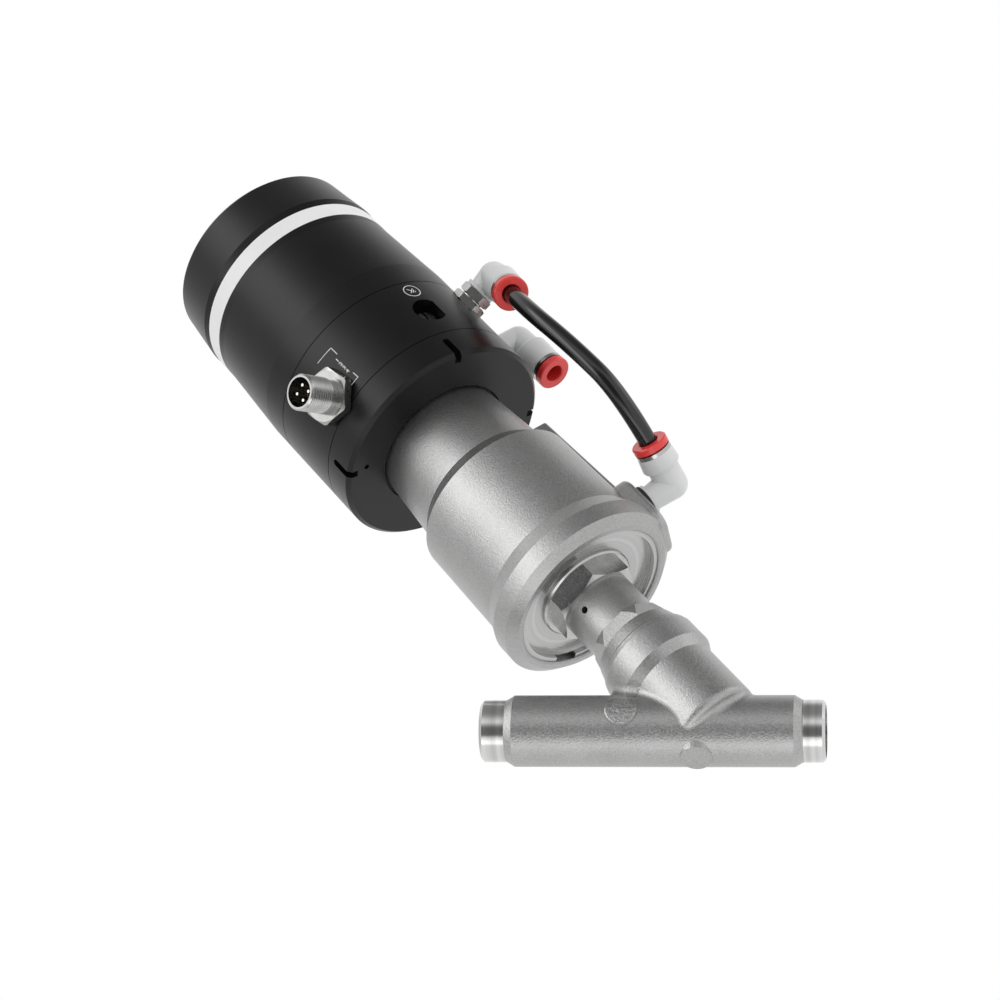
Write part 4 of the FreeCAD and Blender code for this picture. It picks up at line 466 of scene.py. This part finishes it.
black_anodised = speckled(
    "black_anodised", (0.0022, 0.0022, 0.0023), (0.0038, 0.0038, 0.0039),
    smooth=0.28, rough=0.38, grain=0.0003, depth=0.00002, shine=0.28,
)
black_plastic = speckled(
    "black_plastic", (0.010, 0.010, 0.011), (0.016, 0.016, 0.017),
    smooth=0.40, rough=0.52, grain=0.0006, depth=0.00002,
)
black_rubber = speckled(
    "black_rubber", (0.012, 0.012, 0.012), (0.020, 0.020, 0.020),
    smooth=0.62, rough=0.76, grain=0.0005, depth=0.00003,
)
ring_plastic = speckled(
    "light_ring_plastic", (0.80, 0.80, 0.80), (0.85, 0.85, 0.85),
    smooth=0.38, rough=0.48, grain=0.0006, depth=0.00001,
)
fitting_plastic = speckled(
    "fitting_plastic", (0.62, 0.625, 0.625), (0.70, 0.705, 0.705),
    smooth=0.30, rough=0.38, grain=0.0007, depth=0.00002,
)
red_plastic = speckled(
    "red_plastic", (0.66, 0.035, 0.03), (0.76, 0.05, 0.045),
    smooth=0.26, rough=0.36, grain=0.0007, depth=0.00002, coat=0.15,
)
seal_plastic = speckled(
    "seal_plastic", (0.72, 0.71, 0.68), (0.80, 0.79, 0.76),
    smooth=0.40, rough=0.50, grain=0.0006, depth=0.00001,
)
board_green = speckled(
    "board_green", (0.010, 0.07, 0.03), (0.018, 0.11, 0.05),
    smooth=0.30, rough=0.45, grain=0.0008, depth=0.00001, coat=0.3,
)
tube_gloss = speckled(
    "tube_gloss", (0.003, 0.003, 0.0035), (0.005, 0.005, 0.0055),
    smooth=0.09, rough=0.15, grain=0.002, depth=0.00001, coat=0.2,
)
print("plastics and rubber made")

# %% [markdown]
# Each solid of the frame takes one finish, picked by what the real piece is made of.
# The table reads as a parts list: a finish and the solids that have it.
# The last line prints any solid without a finish, so none is left plain.

# %% Put every finish on its solids
FINISHES = {
    body_steel: ["valve_body"],
    cast_steel: ["actuator_housing", "bonnet"],
    smooth_steel: ["swivel_nut"],
    turned_steel: ["actuator_end_plate", "snap_ring"],
    drawn_steel: [
        "packing_gland", "packing_spring", "pivot_clip", "regulating_cone", "plug_disc",
        "spindle", "piston_nut", "position_rod", "return_spring",
    ],
    dark_screw: ["earth_screw"],
    bright_nickel: [
        "plug_shell", "plug_nut", "outlet_elbow_clamp_ring", "supply_elbow_clamp_ring",
        "actuator_elbow_clamp_ring", "outlet_elbow_stud", "outlet_lock_nut", "supply_elbow_stud",
        "actuator_elbow_stud",
    ],
    gold_contact: ["plug_pins"],
    dull_aluminium: ["piston", "board_posts", "light_board_posts"],
    black_anodised: ["positioner_flange", "positioner_base", "positioner_shell", "cover"],
    black_plastic: ["plug_insert", "pilot_valve"],
    black_rubber: [
        "piston_seal", "end_plate_seal", "neck_seal", "cover_seal", "plug_flange_seal",
        "actuator_elbow_seal",
    ],
    ring_plastic: ["light_ring"],
    fitting_plastic: ["outlet_elbow_body", "supply_elbow_body", "actuator_elbow_body"],
    red_plastic: ["outlet_elbow_collet", "supply_elbow_collet", "actuator_elbow_collet"],
    seal_plastic: ["spindle_packing", "plug_seal", "guide_bush", "bonnet_gasket"],
    board_green: ["circuit_board", "light_board"],
    tube_gloss: ["air_tube"],
}
dressed = []
for material, members in FINISHES.items():
    for name in members:
        mesh = nodes[name].data
        mesh.materials.clear()
        mesh.materials.append(material)
        dressed.append(name)
print("dressed", len(dressed), "bare", sorted(set(nodes) - set(dressed)))

# %% [markdown]
# The air tube is one length of 6 mm tube from the outlet elbow to the elbow on the actuator.
# Its route is a few points between the two fittings.
# A NURBS spline of order 3 rounds them into one smooth bend.
# A round bevel gives the curve its thickness, so the tube stays one clean piece.

# %% Air tube
TUBE_RADIUS = 3.0 * MM
TUBE_ROUTE = [
    (-107.99, -25.12, 159.83),
    (-98.39, -35.38, 141.62),
    (-81.94, -37.02, 123.60),
    (-65.10, -31.52, 107.13),
    (-54.42, -10.23, 96.72),
]
curve = bpy.data.curves.new("air_tube_line", "CURVE")
curve.dimensions = "3D"
spline = curve.splines.new("NURBS")
spline.points.add(len(TUBE_ROUTE) - 1)
for point, place in zip(spline.points, TUBE_ROUTE):
    point.co = (*(value * MM for value in place), 1)
spline.order_u = 3
spline.use_endpoint_u = True
spline.resolution_u = 16
curve.bevel_depth = TUBE_RADIUS
curve.bevel_resolution = 8
curve.use_fill_caps = True
air_tube = bpy.data.objects.new("air_tube_skin", curve)
bpy.context.scene.collection.objects.link(air_tube)
curve.materials.append(tube_gloss)
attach(air_tube, "actuator")
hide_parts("air_tube")
print("tube points", len(TUBE_ROUTE))

# %% [markdown]
# The black base carries a little white print beside the plug: two corner brackets and the contact numbers.
# Print has no thickness to speak of, so each mark is a sheet a few hundredths of a millimetre above the skin.
# A flat text or stroke is made first and cut finely, then laid round the housing.
# A point's place across the mark becomes an azimuth, and its place along the mark a station.

# %% Helper: lay a flat mark on the housing
PRINT_RADIUS = 37.9
PRINT_PROUD = 0.03
PRINT_CUT = 0.6
print_white = speckled(
    "print_white", (0.70, 0.70, 0.70), (0.80, 0.80, 0.80),
    smooth=0.45, rough=0.60, grain=0.0004, depth=0.000004,
)


def wrap_mark(name, source, station, azimuth, turn=0.0):
    """Bends a flat bmesh (mm, X along the girth, Y along the axis) onto the housing and links it."""
    spin = Matrix.Rotation(math.radians(turn), 3, "Z")
    bmesh.ops.rotate(source, cent=(0, 0, 0), matrix=spin, verts=source.verts)
    for axis in ("X", "Y"):
        normal = Vector((axis == "X", axis == "Y", 0))
        places = [vert.co.dot(normal) for vert in source.verts]
        step = PRINT_CUT
        while step < max(places) - min(places):
            bmesh.ops.bisect_plane(
                source, geom=source.verts[:] + source.edges[:] + source.faces[:],
                plane_co=normal * (min(places) + step), plane_no=normal,
            )
            step += PRINT_CUT
    for vert in source.verts:
        across = math.degrees(vert.co.x / PRINT_RADIUS)
        vert.co = on_bonnet(station + vert.co.y, azimuth + across, PRINT_RADIUS + PRINT_PROUD)
    bmesh.ops.recalc_face_normals(source, faces=source.faces)
    mesh = bpy.data.meshes.new(name)
    source.to_mesh(mesh)
    source.free()
    if mesh.polygons and mesh.polygons[0].normal.dot(outward(azimuth)) < 0:
        mesh.flip_normals()
    mesh.materials.append(print_white)
    mark = bpy.data.objects.new(name, mesh)
    bpy.context.scene.collection.objects.link(mark)
    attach(mark, "actuator")
    return mark


def stroke(width, *points):
    """Flat line of a width through points in mm, as a bmesh of square-ended runs."""
    flat = bmesh.new()
    for start, end in zip(points, points[1:]):
        run = Vector((end[0] - start[0], end[1] - start[1], 0))
        made = bmesh.ops.create_grid(flat, x_segments=1, y_segments=1, size=0.5)
        size = Matrix.Diagonal((run.length + width, width, 1, 1))
        spin = Matrix.Rotation(math.atan2(run.y, run.x), 4, "Z")
        middle = Matrix.Translation(((start[0] + end[0]) / 2, (start[1] + end[1]) / 2, 0))
        bmesh.ops.transform(flat, matrix=middle @ spin @ size, verts=made["verts"])
    return flat


FIGURE_BOLD = 0.04


def figure(text, height):
    """Flat number in mm as a bmesh, centred."""
    curve = bpy.data.curves.new("figure", "FONT")
    curve.body = text
    curve.size = height / 0.7
    curve.offset = height * FIGURE_BOLD
    curve.align_x = "CENTER"
    curve.align_y = "CENTER"
    holder = bpy.data.objects.new("figure", curve)
    bpy.context.scene.collection.objects.link(holder)
    bpy.context.view_layer.update()
    flat = bmesh.new()
    made = holder.to_mesh()
    flat.from_mesh(made)
    holder.to_mesh_clear()
    bpy.data.objects.remove(holder)
    bpy.data.curves.remove(curve)
    return flat


print("print helpers ready")

# %% [markdown]
# The marks themselves are corners and strokes of one line width, so one stroke helper draws them all.
# The brackets frame the contact numbers, which run down the axis beside the plug.
# The earth sign is a ring with a stem and three shorter and shorter bars.

# %% Brackets, contact numbers and earth sign
DEG_MM = math.pi * PRINT_RADIUS / 180
STROKE = 0.28


def girth(azimuth, origin):
    """Distance round the housing in mm between two azimuths."""
    return (azimuth - origin) * DEG_MM


BRACKETS = {
    "upper_bracket": ((181.0, -37.4), (180.6, -27.4), (177.1, -27.3)),
    "lower_bracket": ((167.0, -27.9), (164.4, -27.6), (164.4, -37.2)),
}
for name, corners in BRACKETS.items():
    base_station, base_azimuth = corners[1]
    points = [(girth(azimuth, base_azimuth), station - base_station) for station, azimuth in corners]
    wrap_mark(name, stroke(STROKE, *points), base_station, base_azimuth)
NUMBER_STATIONS = (175.2, 173.2, 171.2, 169.2)
NUMBER_AZIMUTH = -29.3
NUMBER_HEIGHT = 1.5
for number, station in enumerate(NUMBER_STATIONS, 1):
    wrap_mark("contact_number_%d" % number, figure(str(number), NUMBER_HEIGHT), station, NUMBER_AZIMUTH)
EARTH_STATION = 183.1
EARTH_AZIMUTH = 26.0
EARTH_RADIUS = 3.0
EARTH_TURN = 50
STEM_TOP = 1.7
STEM_FOOT = 0.1
BAR_HALVES = (1.35, 0.85, 0.35)
BAR_STEP = 0.62
ring = bmesh.new()
for radius in (EARTH_RADIUS, EARTH_RADIUS - STROKE):
    bmesh.ops.create_circle(ring, segments=40, radius=radius)
bmesh.ops.bridge_loops(ring, edges=ring.edges[:])
wrap_mark("earth_ring", ring, EARTH_STATION, EARTH_AZIMUTH)
bars = stroke(STROKE, (0, STEM_TOP), (0, STEM_FOOT))
for index, half in enumerate(BAR_HALVES):
    height = STEM_FOOT - BAR_STEP * index
    made = bmesh.ops.create_grid(bars, x_segments=1, y_segments=1, size=0.5)
    size = Matrix.Diagonal((2 * half, STROKE, 1, 1))
    bmesh.ops.transform(bars, matrix=Matrix.Translation((0, height, 0)) @ size, verts=made["verts"])
wrap_mark("earth_bars", bars, EARTH_STATION, EARTH_AZIMUTH, EARTH_TURN)
print("print marks", len(BRACKETS) + len(NUMBER_STATIONS) + 2)

# %% [markdown]
# The floor is one large pale plane under the lowest point of the valve.
# The camera looks up at the valve from below the floor, so the floor's back must not be seen.
# Geometry's Backfacing picks a clear shader there.
# Shadow rays pass the floor too, so the lamp below still reaches the valve, and mirror rays see the world.

# %% Floor
FLOOR_HALF = 3.0
FLOOR_GAP = 0.2 * MM
FLOOR_COLOUR = (0.86, 0.86, 0.86)
FLOOR_ROUGH = 0.8
low = cad_box[0]
floor_mesh = bpy.data.meshes.new("floor")
bm = bmesh.new()
bmesh.ops.create_grid(bm, x_segments=1, y_segments=1, size=FLOOR_HALF)
bmesh.ops.translate(bm, vec=(0, 0, low[2] - FLOOR_GAP), verts=bm.verts)
bm.to_mesh(floor_mesh)
bm.free()
floor = bpy.data.objects.new("floor", floor_mesh)
bpy.context.scene.collection.objects.link(floor)
floor_paint, tree, shader = new_finish("floor_paint", FLOOR_COLOUR, 0.0, FLOOR_ROUGH)
clear = tree.nodes.new("ShaderNodeBsdfTransparent")
mix = tree.nodes.new("ShaderNodeMixShader")
side = tree.nodes.new("ShaderNodeNewGeometry")
ray = tree.nodes.new("ShaderNodeLightPath")
passes = node_in(tree, "ShaderNodeMath", operation="MAXIMUM")
tree.links.new(side.outputs["Backfacing"], passes.inputs[0])
tree.links.new(ray.outputs["Is Shadow Ray"], passes.inputs[1])
glossy = node_in(tree, "ShaderNodeMath", operation="MAXIMUM")
tree.links.new(passes.outputs[0], glossy.inputs[0])
tree.links.new(ray.outputs["Is Glossy Ray"], glossy.inputs[1])
tree.links.new(glossy.outputs[0], mix.inputs[0])
tree.links.new(shader.outputs[0], mix.inputs[1])
tree.links.new(clear.outputs[0], mix.inputs[2])
tree.links.new(mix.outputs[0], tree.nodes["Material Output"].inputs["Surface"])
floor_mesh.materials.append(floor_paint)
print("floor at", round(low[2], 4))

# %% [markdown]
# The photograph has a plain white background, so the world is white for the camera, and metal mirrors it too.
# Round metal only looks round when it also mirrors something dark.
# So three patches of the world are dim in a mirror: the camera's side, its ceiling, and the far left.
# A fourth patch is bright. It stands for a tall soft box on the left.
# It draws the stripe down the actuator, and no pool of light lies on the floor as a lamp would leave.
# Each patch is a direction, the cosines where it begins and is full, its strength and its shape.

# %% World
SKY_ON_DULL = 0.9
PLAIN_WHITE = 1.0
ROUND = (1, 1, 1)
TALL = (1, 1, 0.4)
PATCHES = {
    "front": ((-0.144, -0.78, -0.61), 0.78, 0.97, 0.16, ROUND),
    "ceiling": ((0.12, -0.60, 0.75), 0.60, 0.97, 0.28, ROUND),
    "left": ((-0.97, 0.05, -0.04), 0.72, 0.95, 0.75, ROUND),
    "soft_box": ((-0.84, -0.53, 0.0), 0.93, 0.985, 2.9, TALL),
}
world = bpy.data.worlds.new("studio")
bpy.context.scene.world = world
world.use_nodes = True
tree = world.node_tree
background = tree.nodes["Background"]
background.inputs["Color"].default_value = (1, 1, 1, 1)
way = tree.nodes.new("ShaderNodeTexCoord")
mirrored = None
for patch, (direction, edge, core, level, shape) in PATCHES.items():
    stretch = node_in(tree, "ShaderNodeVectorMath", operation="MULTIPLY")
    stretch.inputs[1].default_value = shape
    unit = node_in(tree, "ShaderNodeVectorMath", operation="NORMALIZE")
    facing = node_in(tree, "ShaderNodeVectorMath", operation="DOT_PRODUCT", label=patch)
    facing.inputs[1].default_value = Vector(direction).normalized()
    dim = node_in(tree, "ShaderNodeMapRange", interpolation_type="SMOOTHSTEP")
    dim.inputs["From Min"].default_value = edge
    dim.inputs["From Max"].default_value = core
    dim.inputs["To Min"].default_value = PLAIN_WHITE
    dim.inputs["To Max"].default_value = level
    tree.links.new(way.outputs["Generated"], stretch.inputs[0])
    tree.links.new(stretch.outputs[0], unit.inputs[0])
    tree.links.new(unit.outputs[0], facing.inputs[0])
    tree.links.new(facing.outputs["Value"], dim.inputs["Value"])
    if mirrored is None:
        mirrored = dim.outputs["Result"]
    else:
        both = node_in(tree, "ShaderNodeMath", operation="MULTIPLY")
        tree.links.new(mirrored, both.inputs[0])
        tree.links.new(dim.outputs["Result"], both.inputs[1])
        mirrored = both.outputs[0]
ray = tree.nodes.new("ShaderNodeLightPath")
seen = node_in(tree, "ShaderNodeMath", operation="MAXIMUM")
on_metal = tree.nodes.new("ShaderNodeMix")
on_camera = tree.nodes.new("ShaderNodeMix")
on_metal.inputs["A"].default_value = SKY_ON_DULL
on_camera.inputs["B"].default_value = PLAIN_WHITE
tree.links.new(ray.outputs["Is Glossy Ray"], on_metal.inputs["Factor"])
tree.links.new(mirrored, on_metal.inputs["B"])
tree.links.new(ray.outputs["Is Camera Ray"], seen.inputs[0])
tree.links.new(ray.outputs["Is Transmission Ray"], seen.inputs[1])
tree.links.new(seen.outputs[0], on_camera.inputs["Factor"])
tree.links.new(on_metal.outputs["Result"], on_camera.inputs["A"])
tree.links.new(on_camera.outputs["Result"], background.inputs["Strength"])
print("patches", *PATCHES)

# %% [markdown]
# Two soft lamps light the dull surfaces too. A broad one on the right lifts the far edge of the black housing
# and the inlet end, and one below lights the undersides that the camera looks at.
# Each lamp's power follows from its area, so its brightness in a reflection is a plain number.

# %% Lamps
MIDDLE = Vector((-0.09, 0, 0.1))
LAMP_AWAY = 0.8


def lamp(name, direction, size, brightness):
    """Area lamp in a direction from the middle, facing it; brightness is what a mirror would show."""
    data = bpy.data.lights.new(name, "AREA")
    data.shape = "RECTANGLE"
    data.size = size[0]
    data.size_y = size[1]
    data.energy = brightness * math.pi * size[0] * size[1]
    item = bpy.data.objects.new(name, data)
    item.location = MIDDLE + Vector(direction).normalized() * LAMP_AWAY
    item.rotation_euler = (MIDDLE - item.location).to_track_quat("-Z", "Y").to_euler()
    item.visible_camera = False
    bpy.context.scene.collection.objects.link(item)


lamp("right_soft", (0.75, -0.35, 0.55), (0.5, 0.5), 0.7)
lamp("low_soft", (0.1, -0.25, -0.95), (0.6, 0.4), 0.9)

# %% [markdown]
# The camera stands in front of the valve, below it and a little to the right.
# Its place came from the valve's round edges, whose ellipses fix the view.
# The rows below are the picture's right, down and forward directions in the valve's frame.

# %% Camera
CAMERA_PLACE = Vector((39.09, -792.89, -526.72)) * MM
RIGHT = Vector((0.989548, 0.120136, 0.079764))
DOWN = Vector((-0.010664, 0.612577, -0.790339))
FORWARD = Vector((-0.143810, 0.781228, 0.607455))
SENSOR_WIDTH = 36.0
LENS_LENGTH = 112.586
NEAR_CLIP = 0.01
camera_data = bpy.data.cameras.new("camera")
camera_data.sensor_width = SENSOR_WIDTH
camera_data.lens = LENS_LENGTH
camera_data.clip_start = NEAR_CLIP
camera = bpy.data.objects.new("camera", camera_data)
turn = Matrix((RIGHT, -DOWN, -FORWARD)).transposed().to_4x4()
camera.matrix_world = Matrix.Translation(CAMERA_PLACE) @ turn
bpy.context.scene.collection.objects.link(camera)
bpy.context.scene.camera = camera
bpy.context.scene.view_settings.view_transform = "Standard"
print("camera", tuple(round(value, 3) for value in camera.location))
